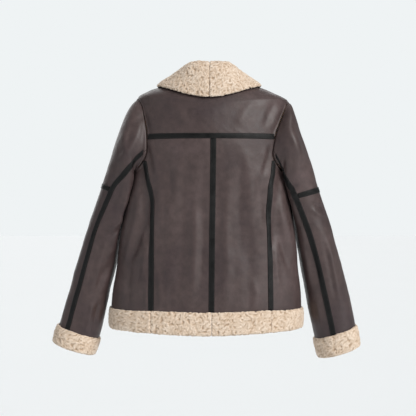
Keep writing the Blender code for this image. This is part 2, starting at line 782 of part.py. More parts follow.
def sleeve_folds(side, turn, station):
    """The folds' height over a sleeve, by the turn in degrees and the station."""
    around, along = 0.85, 62.0  # millimetres for a degree, and for a station
    total = np.zeros(np.broadcast(turn, station).shape)
    for turn_1, station_1, turn_2, station_2, half_width, rise in SLEEVE_FOLDS[side]:
        total = total + fold_height(
            turn * around, station * along, turn_1 * around, station_1 * along,
            turn_2 * around, station_2 * along, half_width, rise,
        )
    return total


def sleeve_section(side, turn, station):
    """A sleeve's surface as its table gives it, before it meets the armhole and the body."""
    section = SLEEVES[side]
    angle = np.radians(turn)
    across, deep = np.cos(angle), np.sin(angle)
    square = section["square"](station)
    reach = (np.abs(across) ** square + np.abs(deep) ** square) ** (-1 / square)
    half_x = (section["out_x"](station) - section["in_x"](station)) / 2
    half_z = (section["out_z"](station) - section["in_z"](station)) / 2
    folds = sleeve_folds(side, np.mod(turn, 360), station) / np.hypot(half_x, half_z)
    reach = reach * (1 + folds)
    x = (section["out_x"](station) + section["in_x"](station)) / 2 + half_x * reach * across
    y = section["middle"](station) + section["depth"](station) * reach * deep
    z = (section["out_z"](station) + section["in_z"](station)) / 2 + half_z * reach * across
    return np.stack(np.broadcast_arrays(side * x, y, z), axis=-1)


def sleeve_point(side, turn, station):
    """A sleeve's outer surface: on the armhole at station 0, and clear of the body after it."""
    turn, station = np.broadcast_arrays(np.asarray(turn, float), np.asarray(station, float))
    place = sleeve_section(side, turn, station)
    armhole = body_point(*edge_at(np.mod(turn, 360), side, -HALF_GAP))
    share = np.clip(1 - station / ARMHOLE_BLEND, 0, 1)[..., None] ** 2
    place = place + (armhole - sleeve_section(side, turn, 0 * station)) * share
    x, y, z = np.moveaxis(place, -1, 0)
    level = np.clip(z, HEM_LEVEL - 60, YOKE_LEVEL)
    shift = BODY["shift"](level)
    angle = np.arctan2(y, x - shift)
    radius = np.hypot(x - shift, y)
    held = ease(station, 0, 0.3) * ease(z, -60, -125)
    body = body_radius(angle, level) + SLEEVE_CLEARANCE
    pushed = greater(radius, body, 8 + 18 * ease(station, 0, 3)) - radius
    pushed = np.where(np.abs(y) < BODY["depth_front"](level), pushed, 0) * held
    x = x + pushed * np.cos(angle)
    y = y + pushed * np.sin(angle)
    return np.stack([x, y, z], axis=-1)


def sleeve_normal(side, turn, station):
    """The direction out of a sleeve."""
    small_turn, small_station = 12.0, 0.45
    station = np.asarray(station, float)
    before = np.maximum(station - small_station, 0)
    beyond = np.where(station < small_station, UPPER_ROWS[1], station + small_station)
    around = sleeve_point(side, turn + small_turn, station) - sleeve_point(
        side, turn - small_turn, station
    )
    along = sleeve_point(side, turn, beyond) - sleeve_point(side, turn, before)
    return unit(np.cross(around, along)) * -side


def armhole_moves(turn, side):
    """The way to the inner face at the armhole, for the body's wall and for the sleeve's."""
    angle, level = edge_at(turn, side, 0)
    body = body_normal(angle, level)
    sleeve = sleeve_normal(side, turn, 0.0)
    alike = float(np.sum(body * sleeve))
    mitre = -(body + sleeve) / max(1 + alike, 0.6) * WALL
    share = float(ease(alike, -0.2, 0.25))
    return (
        share * mitre - (1 - share) * WALL * body,
        share * mitre - (1 - share) * WALL * sleeve,
    )


def sleeve_rows(side, lowest=0.0, highest=CUFF_STATIONS[0]):
    """Stations down a sleeve, with a strip on each side of the elbow seam."""
    elbow = ELBOW_STATION[side]
    strip = TAPE_HALF_WIDTH / 95.0
    gap = HALF_GAP / 95.0
    rows = [*UPPER_ROWS, elbow - strip, elbow - gap, elbow + gap, elbow + strip, *LOWER_ROWS]
    rows += sorted(CUFF_STATIONS)
    return np.array([row for row in rows if lowest <= row <= highest])


def armhole_turns(side):
    """The turns of all the body's points round the armhole, from the shoulder over the back."""
    meeting = meeting_level(side)
    turns = [turn for turn in yoke_rows(side)[1] if turn is not None]
    turns += [armhole_turn(level, side) for level in back_rows() if level > meeting]
    turns += list(side_top(side)[0])
    turns += [turn for turn in shoulder_rows(side, FRONT_MEETING[side], front=True)[1] if turn]
    ordered = []
    for turn in sorted(turns):
        if turn < 359.5 and (not ordered or turn - ordered[-1] > 0.8):
            ordered.append(turn)
    return np.array(ordered)


def sleeve_turns(side, which, rows):
    """The turns of a sleeve panel's points. At the armhole they are those of the body's points."""
    around = armhole_turns(side)
    elbow = int(np.argmin(np.abs(around - armhole_turn(ELBOW_SEAM_TOP, side))))
    front = int(np.argmin(np.abs(around - SLEEVE_SEAMS["front"](0))))
    strip = TAPE_HALF_WIDTH / SLEEVE_DEGREE
    fade = np.clip(1 - rows / EVEN_COLUMNS_FROM, 0, 1)
    back_seam = SLEEVE_SEAMS["elbow_" + SIDE_NAMES[side]](rows)
    back_seam = back_seam + (around[elbow] - back_seam[0]) * fade if rows[0] == 0 else back_seam
    front_seam = SLEEVE_SEAMS["front"](rows)
    front_seam = front_seam + (around[front] - front_seam[0]) * fade if rows[0] == 0 else front_seam
    if which == "under":
        at_armhole = around[elbow:front + 1]
        start, end = back_seam, front_seam
    else:
        at_armhole = np.concatenate([around[front:] - 360, around[: elbow + 1]])
        start, end = front_seam - 360, back_seam
    count = len(at_armhole)
    uneven = (at_armhole - at_armhole[0]) / (at_armhole[-1] - at_armhole[0])
    strip_share = (strip / (end - start))[:, None]
    steps = np.linspace(0, 1, count - 1)[None, :]
    if which == "under":
        even = np.concatenate([0 * strip_share, strip_share + (1 - strip_share) * steps], axis=1)
    else:
        even = np.concatenate([(1 - strip_share) * steps, 0 * strip_share + 1], axis=1)
    follow = (ease(rows, EVEN_COLUMNS_FROM, 0.0) if rows[0] == 0 else 0 * rows)[:, None]
    share = uneven[None, :] * follow + even * (1 - follow)
    return start[:, None] + (end - start)[:, None] * share


def sleeve_panel(side, which):
    """A top sleeve, above or below the elbow seam, or an under sleeve."""
    elbow = ELBOW_STATION[side]
    rows = sleeve_rows(side)
    if which == "upper":
        rows = rows[rows < elbow]
    elif which == "lower":
        rows = rows[rows > elbow]
    turns = sleeve_turns(side, which, rows)
    stations = np.broadcast_to(rows[:, None], turns.shape)
    grid = Grid(sleeve_point(side, turns, stations), sleeve_normal(side, turns, stations))
    for edge, inside in ((0, 1), (-1, -2)):
        normals = grid.normals[:, edge]
        beyond = np.concatenate([normals[:1], normals, normals[-1:]])
        normals = unit(beyond[:-2] + 2 * normals + beyond[2:])
        seam = grid.points[:, edge]
        across = unit(np.cross(np.gradient(seam, axis=0), normals))
        inward = np.sign(np.sum(across * (grid.points[:, inside] - seam), axis=-1))[:, None]
        grid.points[:, edge] = seam + across * inward * SLEEVE_HALF_GAP
        grid.normals[:, edge] = normals
    moves = grid.normals * -WALL
    if rows[0] == 0:
        for column, turn in enumerate(turns[0]):
            moves[0, column] = armhole_moves(np.mod(turn, 360), side)[1]
    return grid, moves


# Bands of pile turned up over the edges: each section's height over the edge and its distance
# out of the cloth

HEM_PROFILE = (
    (HEM_BAND_HEIGHT, SEAM_GAP), (HEM_BAND_HEIGHT, 3.2), (HEM_BAND_HEIGHT - 4, BAND_PILE),
    (HEM_BAND_HEIGHT / 2, BAND_PILE + 1.0), (2, BAND_PILE), (-4.5, 3.5), (-7, -2.5), (-4.5, -8.5),
    (3, -11.5), (14, -10.5), (14, -WALL - SEAM_GAP), (-SEAM_GAP, -WALL - SEAM_GAP),
    (-SEAM_GAP, SEAM_GAP), (HEM_BAND_HEIGHT / 2, SEAM_GAP),
)
HEM_END_GAP = 0.2  # the hem's pieces end this much before the panels over them


def band_sections(rows, normals, profile):
    """A profile set on each column of a panel's three lowest rows, which are listed upwards."""
    foot, middle, top = rows
    low_length = np.linalg.norm(middle - foot, axis=-1)[:, None]
    high_length = np.linalg.norm(top - middle, axis=-1)[:, None]
    low_way, high_way = (middle - foot) / low_length, (top - middle) / high_length
    sections = []
    reach = HEM_BAND_HEIGHT / (low_length + high_length)
    for height, out in profile:
        along = height / reach
        place = np.where(
            along < low_length, foot + low_way * along, middle + high_way * (along - low_length)
        )
        sections.append(place + normals * out)
    return np.stack(sections, axis=1)


def hem_band(name, material, grid):
    rows = grid.points[:3].copy()
    for end, next_to_end in ((0, 1), (-1, -2)):
        rows[:, end] += unit(rows[:, next_to_end] - rows[:, end]) * HEM_END_GAP
    normals = grid.normals[1]
    return sweep(name, material, band_sections(rows, normals, HEM_PROFILE), normals)


def sleeve_end(side):
    """The three lowest rows of a whole sleeve, from the cuff's seam round to it again."""
    top, under = sleeve_panel(side, "lower")[0], sleeve_panel(side, "under")[0]
    whole = joined(top.part(slice(-3, None)), under.part(slice(-3, None)))
    first, last = whole.points[:, :1], whole.points[:, -1:]
    edge = (first + last) / 2
    edge_normal = unit(whole.normals[:, :1] + whole.normals[:, -1:])
    points = np.concatenate([edge, whole.points[:, 1:-1]], axis=1)[::-1]
    normals = np.concatenate([edge_normal, whole.normals[:, 1:-1]], axis=1)[::-1]
    seam = points.shape[1] - 5
    points, normals = np.roll(points, -seam, axis=1), np.roll(normals, -seam, axis=1)
    start = points[:, :1] + unit(points[:, 1:2] - points[:, :1]) * HALF_GAP
    end = points[:, :1] + unit(points[:, -1:] - points[:, :1]) * HALF_GAP
    return Grid(
        np.concatenate([start, points[:, 1:], end], axis=1),
        np.concatenate([normals, normals[:, :1]], axis=1),
    )


def cuff(side, material):
    grid = sleeve_end(side)
    normals = grid.normals[0]
    sections = band_sections(grid.points, normals, HEM_PROFILE)
    return sweep("cuff_" + SIDE_NAMES[side], material, sections, normals)


# Collar

STAND_STEPS = 4
LEAF_STEPS = 6
COLLAR_GAP = 0.8  # from the collar's foot to the neck's edge


def bezier(controls, share):
    first, second, third, fourth = controls
    share = np.asarray(share)[..., None]
    rest = 1 - share
    return (
        rest**3 * first + 3 * rest**2 * share * second
        + 3 * rest * share**2 * third + share**3 * fourth
    )


def collar_line(side, around, down):
    """The middle of the collar's cloth: down is 0 at the neck seam, 1 at the fold, 2 at the edge."""
    around, down = np.broadcast_arrays(np.asarray(around, float), np.asarray(down, float))
    angle = math.pi / 2 - side * np.radians(around)
    level = np.full(around.shape, NECK_LEVEL)
    below = body_point(angle, level - 3)
    neck = body_point(angle, level)
    upward = unit(neck - below)
    base = neck - body_normal(angle, level) * WALL / 2 + upward * COLLAR_GAP
    out = unit(body_normal(angle, level) * np.array([1.0, 1.0, 0.0]))
    top = np.array([0.0, 0.0, 1.0])
    rise = COLLAR["fold_rise"](around)[..., None]
    fold = base + top * rise + out * COLLAR["fold_out"](around)[..., None]
    edge_angle = np.radians(COLLAR["edge_angle"](around))
    edge_angle = edge_angle if side == LEFT else math.pi - edge_angle
    edge_level = COLLAR["edge_level"](around)
    edge_out = body_normal(edge_angle, edge_level)
    edge = body_point(edge_angle, edge_level) + edge_out * (1.0 + COLLAR_PILE / 2)
    length = np.linalg.norm(edge - fold, axis=-1)[..., None]
    bow = COLLAR["leaf_bow"](around)[..., None]
    stand = (base, base + upward * rise * 0.4, fold - out * 9.0, fold)
    roundness = COLLAR["leaf_round"](around)[..., None]
    leaf = (fold, fold + out * length * roundness, edge + (fold - edge) * 0.35 + edge_out * bow, edge)
    return np.where(
        (down < 1)[..., None], bezier(stand, np.clip(down, 0, 1)),
        bezier(leaf, np.clip(down - 1, 0, 1)),
    )


def collar_thickness(down):
    return WALL + (COLLAR_PILE - WALL) * ease(down, 0, 0.7) - 2.0 * ease(down, 1.85, 2.0)


def collar_grid(side, around, down):
    """The collar's middle surface, with the direction out of its pile."""
    around, down = np.broadcast_arrays(np.asarray(around, float), np.asarray(down, float))
    small = 0.01
    low, high = np.clip(down - small, 0, 2), np.clip(down + small, 0, 2)
    across = collar_line(side, around + 0.5, down) - collar_line(side, around - 0.5, down)
    along = collar_line(side, around, high) - collar_line(side, around, low)
    normals = unit(np.cross(across, along)) * side
    return Grid(collar_line(side, around, down), normals)


def collar(side, material):
    """One half of the collar, pile side out."""
    down = np.concatenate(
        [np.linspace(0, 0.8, STAND_STEPS), [0.92, 1.0, 1.08], np.linspace(1.2, 2, LEAF_STEPS)]
    )
    around = neck_columns(side)
    around[0] = math.degrees(HALF_GAP / 67.0)
    grid = collar_grid(side, around[None, :], down[:, None])
    grid.normals[:, 0, 0] = 0.0
    angles = math.pi / 2 - side * np.radians(around)
    grid.normals[0] = -body_normal(angles, np.full(len(angles), NECK_LEVEL))
    half = collar_thickness(down)[:, None] / 2
    half = np.broadcast_to(half, grid.points.shape[:2])
    return wall("collar_" + SIDE_NAMES[side], material, grid.moved(half), grid.moved(-half))


# Tapes over the seams

def stacked(lower, upper):
    """Two grids one above the other, whose shared edge becomes one row between them."""
    edge = (lower.points[-1:] + upper.points[:1]) / 2
    edge_normals = unit(lower.normals[-1:] + upper.normals[:1])
    return Grid(
        np.concatenate([lower.points[:-1], edge, upper.points[1:]]),
        np.concatenate([lower.normals[:-1], edge_normals, upper.normals[1:]]),
    )


def shortened(grid, first, last):
    """The grid with its first and last rows drawn in, so that a tape stops short of a seam."""
    points = grid.points.copy()
    points[0] = points[0] + unit(points[1] - points[0]) * first
    points[-1] = points[-1] + unit(points[-2] - points[-1]) * last
    return Grid(points, grid.normals)


def turned_grid(grid):
    """The grid with its rows and columns exchanged."""
    return Grid(grid.points.swapaxes(0, 1), grid.normals.swapaxes(0, 1))


END_GAP = 2 * SEAM_GAP
ARMHOLE_END_GAP = 3.0


def body_tapes(panels, material):
    """The tapes over the yoke seam, the centre-back seam and the seams of the side panels."""
    backs = {side: panels["back", side][0] for side in (LEFT, RIGHT)}
    whole = joined(backs[LEFT].flipped(), backs[RIGHT])
    centre = backs[LEFT].points.shape[1] - 1
    strip = whole.part(slice(2, -1), slice(centre - 1, centre + 2))
    tape("tape_centre_back", material, shortened(strip, END_GAP, SEAM_GAP))
    across = stacked(whole.part(slice(-2, None)), panels["yoke", 0][0].part(slice(0, 2)))
    across = turned_grid(shortened(turned_grid(across), ARMHOLE_END_GAP, ARMHOLE_END_GAP))
    tape("tape_yoke", material, across)
    for side in (LEFT, RIGHT):
        back, flank, front = (panels[name, side][0] for name in ("back", "side", "front"))
        rows = slice(2, flank.points.shape[0])
        seams = {
            "back": joined(
                back.part(rows, slice(-2, None)), flank.part(rows, slice(0, 2))
            ),
            "front": joined(
                flank.part(rows, slice(-2, None)), front.part(rows, slice(-2, None)).flipped()
            ),
        }
        for name, strip in seams.items():
            strip = shortened(strip, END_GAP, ARMHOLE_END_GAP)
            tape("tape_side_" + name + "_" + SIDE_NAMES[side], material, strip)


def sleeve_tapes(side, upper, lower, under, material):
    """The tape down the elbow seam, and the one across the top sleeve."""
    last = slice(-2, None)
    top = Grid(
        np.concatenate([upper.points[:, last], lower.points[:, last]]),
        np.concatenate([upper.normals[:, last], lower.normals[:, last]]),
    )
    rows = slice(0, -2)
    strip = joined(top.part(rows), under.part(rows, slice(0, 2)))
    strip = shortened(strip, ARMHOLE_END_GAP, END_GAP)
    tape("tape_sleeve_" + SIDE_NAMES[side], material, strip)
    columns = slice(0, -1)
    across = stacked(upper.part(last, columns), lower.part(slice(0, 2), columns))
    across = turned_grid(shortened(turned_grid(across), END_GAP, SEAM_GAP))
    tape("tape_elbow_" + SIDE_NAMES[side], material, across)


# The zip up the front

SLIDER_LEVEL = -1.0
SLIDER_SIZE = (9.0, 11.0, 2.3)  # across, up and out of the cloth
SLIDER_BACK = -1.7  # its back, measured out of the fronts' outer face
PIN_OUT = 3.1
PIN_RADIUS = 0.7
EAR_THICKNESS = 1.0
EAR_HEIGHT = 3.4
PULL_WIDTH = 4.6
PULL_LENGTH = 22.0
PULL_THICKNESS = 1.4
PULL_EYE_RADIUS = 1.8
PULL_BORE_RADIUS = 1.05


def centre_front(levels, distance):
    """Points of the outer surface at a distance from the centre front, one for each level."""
    middle = seam_angle("centre_front", levels, front=True)
    return body_grid(middle + angle_step(middle, levels, distance), levels)


def slider_frame():
    """The pull's pin, as a point and the directions along it, up and out of the front."""
    levels = np.array([SLIDER_LEVEL])
    here = centre_front(levels, 0.0)
    out = here.normals[0]
    along = np.array([1.0, 0.0, 0.0])
    along = unit(along - out * along.dot(out))
    up = np.cross(out, along)
    up = up * np.sign(up[2])
    return here.points[0] + out * PIN_OUT, along, up, out


def zip_strips(panels, tape_material, chain_material):
    """The zip's two tapes behind the fronts, and the chain between them."""
    for side in (LEFT, RIGHT):
        front = panels["front", side][0].part(slice(1, None), slice(0, 2))
        levels = front_levels(side)[1:]
        middle = centre_front(levels, side * HALF_GAP)
        grid = Grid(
            np.concatenate([middle.points[:, None], front.points], axis=1),
            np.concatenate([middle.normals[:, None], front.normals], axis=1),
        )
        grid = shortened(grid, 0.0, 1.2)
        outer = grid.moved(-WALL - SEAM_GAP)
        inner = grid.moved(-WALL - SEAM_GAP - ZIP_TAPE_THICKNESS)
        wall("zip_tape_" + SIDE_NAMES[side], tape_material, outer, inner)
    levels = front_levels(LEFT)[1:]
    levels = np.append(levels[levels < SLIDER_LEVEL - 15.0], SLIDER_LEVEL - 13.0)
    edges = [centre_front(levels, side * ZIP_CHAIN_HALF) for side in (RIGHT, LEFT)]
    middle = centre_front(levels, 0.0)
    grid = Grid(
        np.stack([edges[0].points, middle.points, edges[1].points], axis=1),
        np.stack([middle.normals] * 3, axis=1),
    )
    front_face = grid.moved(ZIP_CHAIN_BACK + ZIP_CHAIN_THICKNESS)
    wall("zip_chain", chain_material, front_face, grid.moved(ZIP_CHAIN_BACK))


def in_frame(piece, frame):
    """Puts an object made about the pin into its place: x along the pin, y up and z out."""
    place, along, up, out = frame
    matrix = Matrix.Identity(4)
    for column, axis in enumerate((along, up, out)):
        for row in range(3):
            matrix[row][column] = axis[row]
    for row in range(3):
        matrix[row][3] = place[row] * MM
    piece.matrix_world = matrix


def block(name, low, high, collection, bevel=0.0):
    """A box between two corners, in millimetres, with its edges bevelled."""
    mesh = bpy.data.meshes.new(name)
    shape = bmesh.new()
    bmesh.ops.create_cube(shape, size=1.0)
    low, high = Vector(low) * MM, Vector(high) * MM
    for vertex in shape.verts:
        for axis in range(3):
            middle, size = (low[axis] + high[axis]) / 2, high[axis] - low[axis]
            vertex.co[axis] = middle + vertex.co[axis] * size
    if bevel:
        bmesh.ops.bevel(
            shape, geom=shape.edges[:], offset=bevel * MM, segments=2, affect="EDGES"
        )
    shape.to_mesh(mesh)
    shape.free()
    piece = bpy.data.objects.new(name, mesh)
    collection.objects.link(piece)
    return piece


def rod(name, radius, length, collection, sides=16):
    """A cylinder along x, about the pin."""
    mesh = bpy.data.meshes.new(name)
    shape = bmesh.new()
    bmesh.ops.create_cone(
        shape, cap_ends=True, segments=sides, radius1=radius * MM, radius2=radius * MM,
        depth=length * MM, matrix=Matrix.Rotation(math.pi / 2, 4, "Y"),
    )
    shape.to_mesh(mesh)
    shape.free()
    piece = bpy.data.objects.new(name, mesh)
    collection.objects.link(piece)
    return piece


def combine(piece, other, operation):
    """Joins another object to a piece, or cuts it away, and hides the other."""
    modifier = piece.modifiers.new(other.name, "BOOLEAN")
    modifier.operation = operation
    modifier.object = other
    other.hide_render = True
    other.display_type = "WIRE"


def zip_slider(material, helpers):
    """The slider with the two ears and the pin that hold its pull."""
    frame = slider_frame()
    width, height, thick = SLIDER_SIZE
    back = SLIDER_BACK - PIN_OUT
    slider = block(
        "zip_slider", (-width / 2, -height / 2 - 2, back),
        (width / 2, height / 2 - 2, back + thick), JACKET, bevel=0.7,
    )
    in_frame(slider, frame)
    ear_inside = PULL_WIDTH / 2 + SEAM_GAP
    for way in (-1, 1):
        sides = sorted((way * ear_inside, way * (ear_inside + EAR_THICKNESS)))
        ear = block(
            "ear", (sides[0], -1.6, back + thick - 0.5), (sides[1], 1.6, EAR_HEIGHT - 2.0), helpers
        )
        in_frame(ear, frame)
        combine(slider, ear, "UNION")
    pin = rod("pin", PIN_RADIUS, 2 * ear_inside + EAR_THICKNESS, helpers)
    in_frame(pin, frame)
    combine(slider, pin, "UNION")
    slider.data.materials.append(material)


def zip_pull(material, helpers):
    """The pull tab, which turns on the slider's pin."""
    frame = slider_frame()
    pull = block(
        "zip_pull", (-PULL_WIDTH / 2, -PULL_LENGTH, -PULL_THICKNESS / 2),
        (PULL_WIDTH / 2, 0.0, PULL_THICKNESS / 2), JACKET, bevel=0.4,
    )
    in_frame(pull, frame)
    eye = rod("eye", PULL_EYE_RADIUS, PULL_WIDTH, helpers, sides=20)
    bore = rod("bore", PULL_BORE_RADIUS, PULL_WIDTH + 2, helpers, sides=20)
    for piece, operation in ((eye, "UNION"), (bore, "DIFFERENCE")):
        in_frame(piece, frame)
        combine(pull, piece, operation)
    pull.data.materials.append(material)


# The whole jacket

def material_of(name, colour, roughness, metallic=0.0):
    material = bpy.data.materials.new(name)
    material.use_nodes = True
    shader = material.node_tree.nodes["Principled BSDF"]
    shader.inputs["Base Color"].default_value = (*colour, 1.0)
    shader.inputs["Roughness"].default_value = roughness
    shader.inputs["Metallic"].default_value = metallic
    material.diffuse_color = (*colour, 1.0)
    return material


def make_body(face, pile, trim):
    panels = {}
    panels["yoke", 0] = yoke()
    for side in (LEFT, RIGHT):
        panels["back", side] = back_panel(side)
        panels["side", side] = side_panel(side)
        panels["front", side] = front_panel(side)
    panel("yoke_back", face, *panels["yoke", 0])
    for side in (LEFT, RIGHT):
        for name in ("back", "side", "front"):
            grid, moves = panels[name, side]
            panel(name + "_" + SIDE_NAMES[side], face, grid, moves)
            hem_band("hem_" + name + "_" + SIDE_NAMES[side], pile, grid)
    body_tapes(panels, trim)
    return panels


def make_sleeve(side, face, pile, trim):
    grids = {}
    for which in ("upper", "lower", "under"):
        grids[which], moves = sleeve_panel(side, which)
        name = "sleeve_under_" if which == "under" else "sleeve_top_" + which + "_"
        panel(name + SIDE_NAMES[side], face, grids[which], moves)
    sleeve_tapes(side, grids["upper"], grids["lower"], grids["under"], trim)
    cuff(side, pile)


def make_jacket():
    helpers = bpy.data.collections.new("cutters")
    for collection in (JACKET, helpers):
        bpy.context.scene.collection.children.link(collection)
    face = material_of("face", (0.062, 0.043, 0.043), 0.42)
    pile = material_of("pile", (0.74, 0.62, 0.47), 0.95)
    trim = material_of("tape", (0.012, 0.012, 0.013), 0.45)
    metal = material_of("zip_metal", (0.09, 0.09, 0.095), 0.35, metallic=1.0)
    panels = make_body(face, pile, trim)
    for side in (LEFT, RIGHT):
        make_sleeve(side, face, pile, trim)
        collar(side, pile)
    zip_strips(panels, trim, metal)
    zip_slider(metal, helpers)
    zip_pull(metal, helpers)


for old in list(bpy.data.objects):
    bpy.data.objects.remove(old, do_unlink=True)
JACKET = bpy.data.collections.new("pile_collar_jacket")
make_jacket()
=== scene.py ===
"""The looks of the jacket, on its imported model.

Leather-like panels, tapes, pile bands and the zip are made again here on fine grids, from the
same measures as the solids, and each piece replaces its own solid. All sizes are in
millimetres, and MM turns them into metres where a mesh is made. +Z is up, the back faces +Y,
and the jacket's own left side is at +X.
"""

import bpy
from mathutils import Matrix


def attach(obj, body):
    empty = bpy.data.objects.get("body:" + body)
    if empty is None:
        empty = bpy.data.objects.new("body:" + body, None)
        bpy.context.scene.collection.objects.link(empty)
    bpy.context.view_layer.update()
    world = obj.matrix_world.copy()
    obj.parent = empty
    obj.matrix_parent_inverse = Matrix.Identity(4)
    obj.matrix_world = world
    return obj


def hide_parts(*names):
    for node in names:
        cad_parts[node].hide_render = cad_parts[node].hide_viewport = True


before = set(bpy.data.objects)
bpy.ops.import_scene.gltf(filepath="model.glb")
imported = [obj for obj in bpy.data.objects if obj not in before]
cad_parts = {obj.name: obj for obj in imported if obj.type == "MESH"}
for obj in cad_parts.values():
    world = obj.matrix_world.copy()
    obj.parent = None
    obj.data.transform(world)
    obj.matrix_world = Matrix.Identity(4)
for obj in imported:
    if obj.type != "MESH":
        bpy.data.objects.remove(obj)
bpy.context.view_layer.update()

import math

import bpy
import numpy as np
from mathutils import Vector

MM = 0.001

# Driving dimensions
WALL = 5.0  # leather-like face and the pile inside
SEAM_GAP = 0.3
TAPE_HALF_WIDTH = 6.5
HEM_BAND_HEIGHT = 45.0
CUFF_STATIONS = (11.0, 10.6, 10.2)
BAND_PILE = 5.0
COLLAR_PILE = 8.0

HEM_LEVEL = -566.0
YOKE_LEVEL = -122.0
NECK_LEVEL = 8.0

ZIP_CHANNEL_HALF = 7.0  # from the centre front to the edge of each front
ZIP_TAPE_THICKNESS = 1.0

LEFT = 1
RIGHT = -1
SIDE_NAMES = {LEFT: "left", RIGHT: "right"}

# The armholes' highest and lowest places
ARMHOLE_TOP = {LEFT: -24.0, RIGHT: -32.0}
ARMHOLE_LOW = -205.0
ARMHOLE_MIDDLE = {side: (ARMHOLE_TOP[side] + ARMHOLE_LOW) / 2 for side in (LEFT, RIGHT)}
ARMHOLE_HALF = {side: (ARMHOLE_TOP[side] - ARMHOLE_LOW) / 2 for side in (LEFT, RIGHT)}

# The body's rings, from the hem to the neck. A ring's level is its height at the side seams.
BODY_COLUMNS = (
    "level", "half_width", "shift", "depth_back", "depth_front", "rise_back", "rise_front",
    "square",
)
BODY_RINGS = (
    (-600, 229, 12.5, 119, 113, -6, -4, 2.25),
    (-566, 228, 12.0, 118, 112, -6, -4, 2.25),
    (-500, 226, 10.5, 115, 109, -3, -2, 2.25),
    (-430, 217, 8.5, 111, 106, 0, 0, 2.25),
    (-340, 206, 6.5, 108, 107, 0, 0, 2.25),
    (-250, 193, 6.0, 109, 114, 0, 0, 2.25),
    (-190, 186, 5.0, 112, 119, 0, 0, 2.20),
    (-150, 182, 3.0, 113, 117, 0, -2, 2.15),
    (-115, 178, 0.0, 111, 110, -2, -8, 2.10),
    (-75, 177, -3.5, 105, 97, -7, -22, 2.05),
    (-45, 178, -5.5, 99, 86, -13, -38, 2.0),
    (-33, 178, -4.5, 95.5, 81, -16, -46, 2.0),
    (-24, 171, 1.0, 93, 77.5, -18.5, -52, 2.0),
    (-14.4, 153.6, 4.8, 89.7, 73.7, -20, -58, 2.0),
    (-7.2, 136.8, 4.8, 86, 70, -19.3, -63.5, 2.0),
    (-1, 119.5, 4.5, 81, 67, -16.5, -67.5, 2.0),
    (4, 101, 4.0, 75, 64, -12, -71, 2.0),
    (8, 80, 3.5, 67, 62, -7, -74, 2.0),
)

# Seams that run down the body: the distance of each from the middle plane, by level.
SEAM_COLUMNS = (
    "level", "centre_back", "centre_front", "side_back_left", "side_back_right", "side_front",
)
SEAM_PLACES = (
    (-600, 0.0, 5.0, 137, 133, 146),
    (-527, -0.5, 4.0, 137, 137, 146),
    (-340, -2.5, 2.0, 137, 135, 146),
    (-281, -3.5, 1.5, 138, 134, 147),
    (-246, -4.0, 1.2, 141, 134, 150),
    (-205, -4.3, 0.8, 149, 142, 155),
    (-165, -4.7, 0.5, 158, 147, 160),
    (-110, -5.0, 0.2, 166, 152, 166),
    (8, -5.0, 3.0, 170, 160, 170),
)

# The armhole, by the turn about it: 0 at the shoulder, 90 at the back or front, 180 below.
# Its width is the angle from the body's side, in degrees.
ARMHOLE_COLUMNS = ("turn", "back", "front")
ARMHOLE_PLACES = (
    (0, 0.0, 0.0), (30, 8.0, 8.0), (60, 15.5, 17.0), (90, 23.0, 26.0),
    (120, 26.5, 29.0), (150, 19.5, 22.0), (180, 0.0, 0.0),
)

# The sleeves' sections, from the armhole to the cuff: the outer and the inner edge of each,
# seen from behind, and its depth, its middle from front to back, and how square it is.
SLEEVE_COLUMNS = ("station", "out_x", "out_z", "in_x", "in_z", "depth", "middle", "square")
SLEEVE_SECTIONS = {
    LEFT: (
        (0, 172, -24, 190, -205, 74, 0, 2.0),
        (1, 187, -38, 178, -211, 75, 2, 2.0),
        (2, 204, -66, 170, -219, 75, 4, 2.05),
        (3, 217, -100, 164, -227, 75, 4, 2.1),
        (4, 230, -138, 159, -236, 72, 4, 2.15),
        (5, 245, -185, 155, -248, 65, 4, 2.15),
        (6, 262, -238, 158, -276, 58, 1, 2.15),
        (7, 293, -325, 193, -360, 50, -3, 2.1),
        (8, 315, -396, 218, -426, 47, -7, 2.1),
        (9, 334, -460, 239.5, -489, 46, -10, 2.1),
        (10, 362, -556, 267, -588, 45.5, -13, 2.1),
        (11, 378, -604, 282, -636, 46, -14, 2.1),
    ),
    RIGHT: (
        (0, 184, -32, 184, -205, 74, 0, 2.0),
        (1, 192, -41, 170, -211, 76, 4, 2.05),
        (2, 201, -68, 158, -219, 76, 7, 2.1),
        (3, 212, -102, 151, -227, 75, 7, 2.1),
        (4, 226, -142, 149, -236, 71, 6, 2.05),
        (5, 240.5, -185, 149, -246, 65, 4, 2.05),
        (6, 257, -240, 155, -270, 58, 1, 2.15),
        (7, 286.5, -330, 186, -359, 50, -3, 2.1),
        (8, 306, -396, 207, -424, 49, -7, 2.1),
        (9, 323.5, -460, 223.5, -488, 48.5, -10, 2.1),
        (10, 345, -556, 248, -588, 48, -13, 2.1),
        (11, 355, -613, 260, -642, 48.5, -14, 2.1),
    ),
}

# The sleeves' two seams, as turns about the section: 0 outside, 90 behind, 180 at the body.
SLEEVE_SEAM_COLUMNS = ("station", "elbow_left", "elbow_right", "front")
SLEEVE_SEAM_PLACES = (
    (0, 114, 122, 254),
    (0.35, 115, 128.5, 254),
    (1, 117.5, 133, 254.3),
    (2, 117, 135, 255),
    (3, 110, 132, 256),
    (4, 98.5, 126, 257),
    (5, 84, 116, 257.5),
    (6, 63.5, 103, 258),
    (7, 58, 97, 258),
    (8, 60, 98.5, 258),
    (11, 62, 104, 258),
)
ELBOW_STATION = {LEFT: 5.95, RIGHT: 6.05}

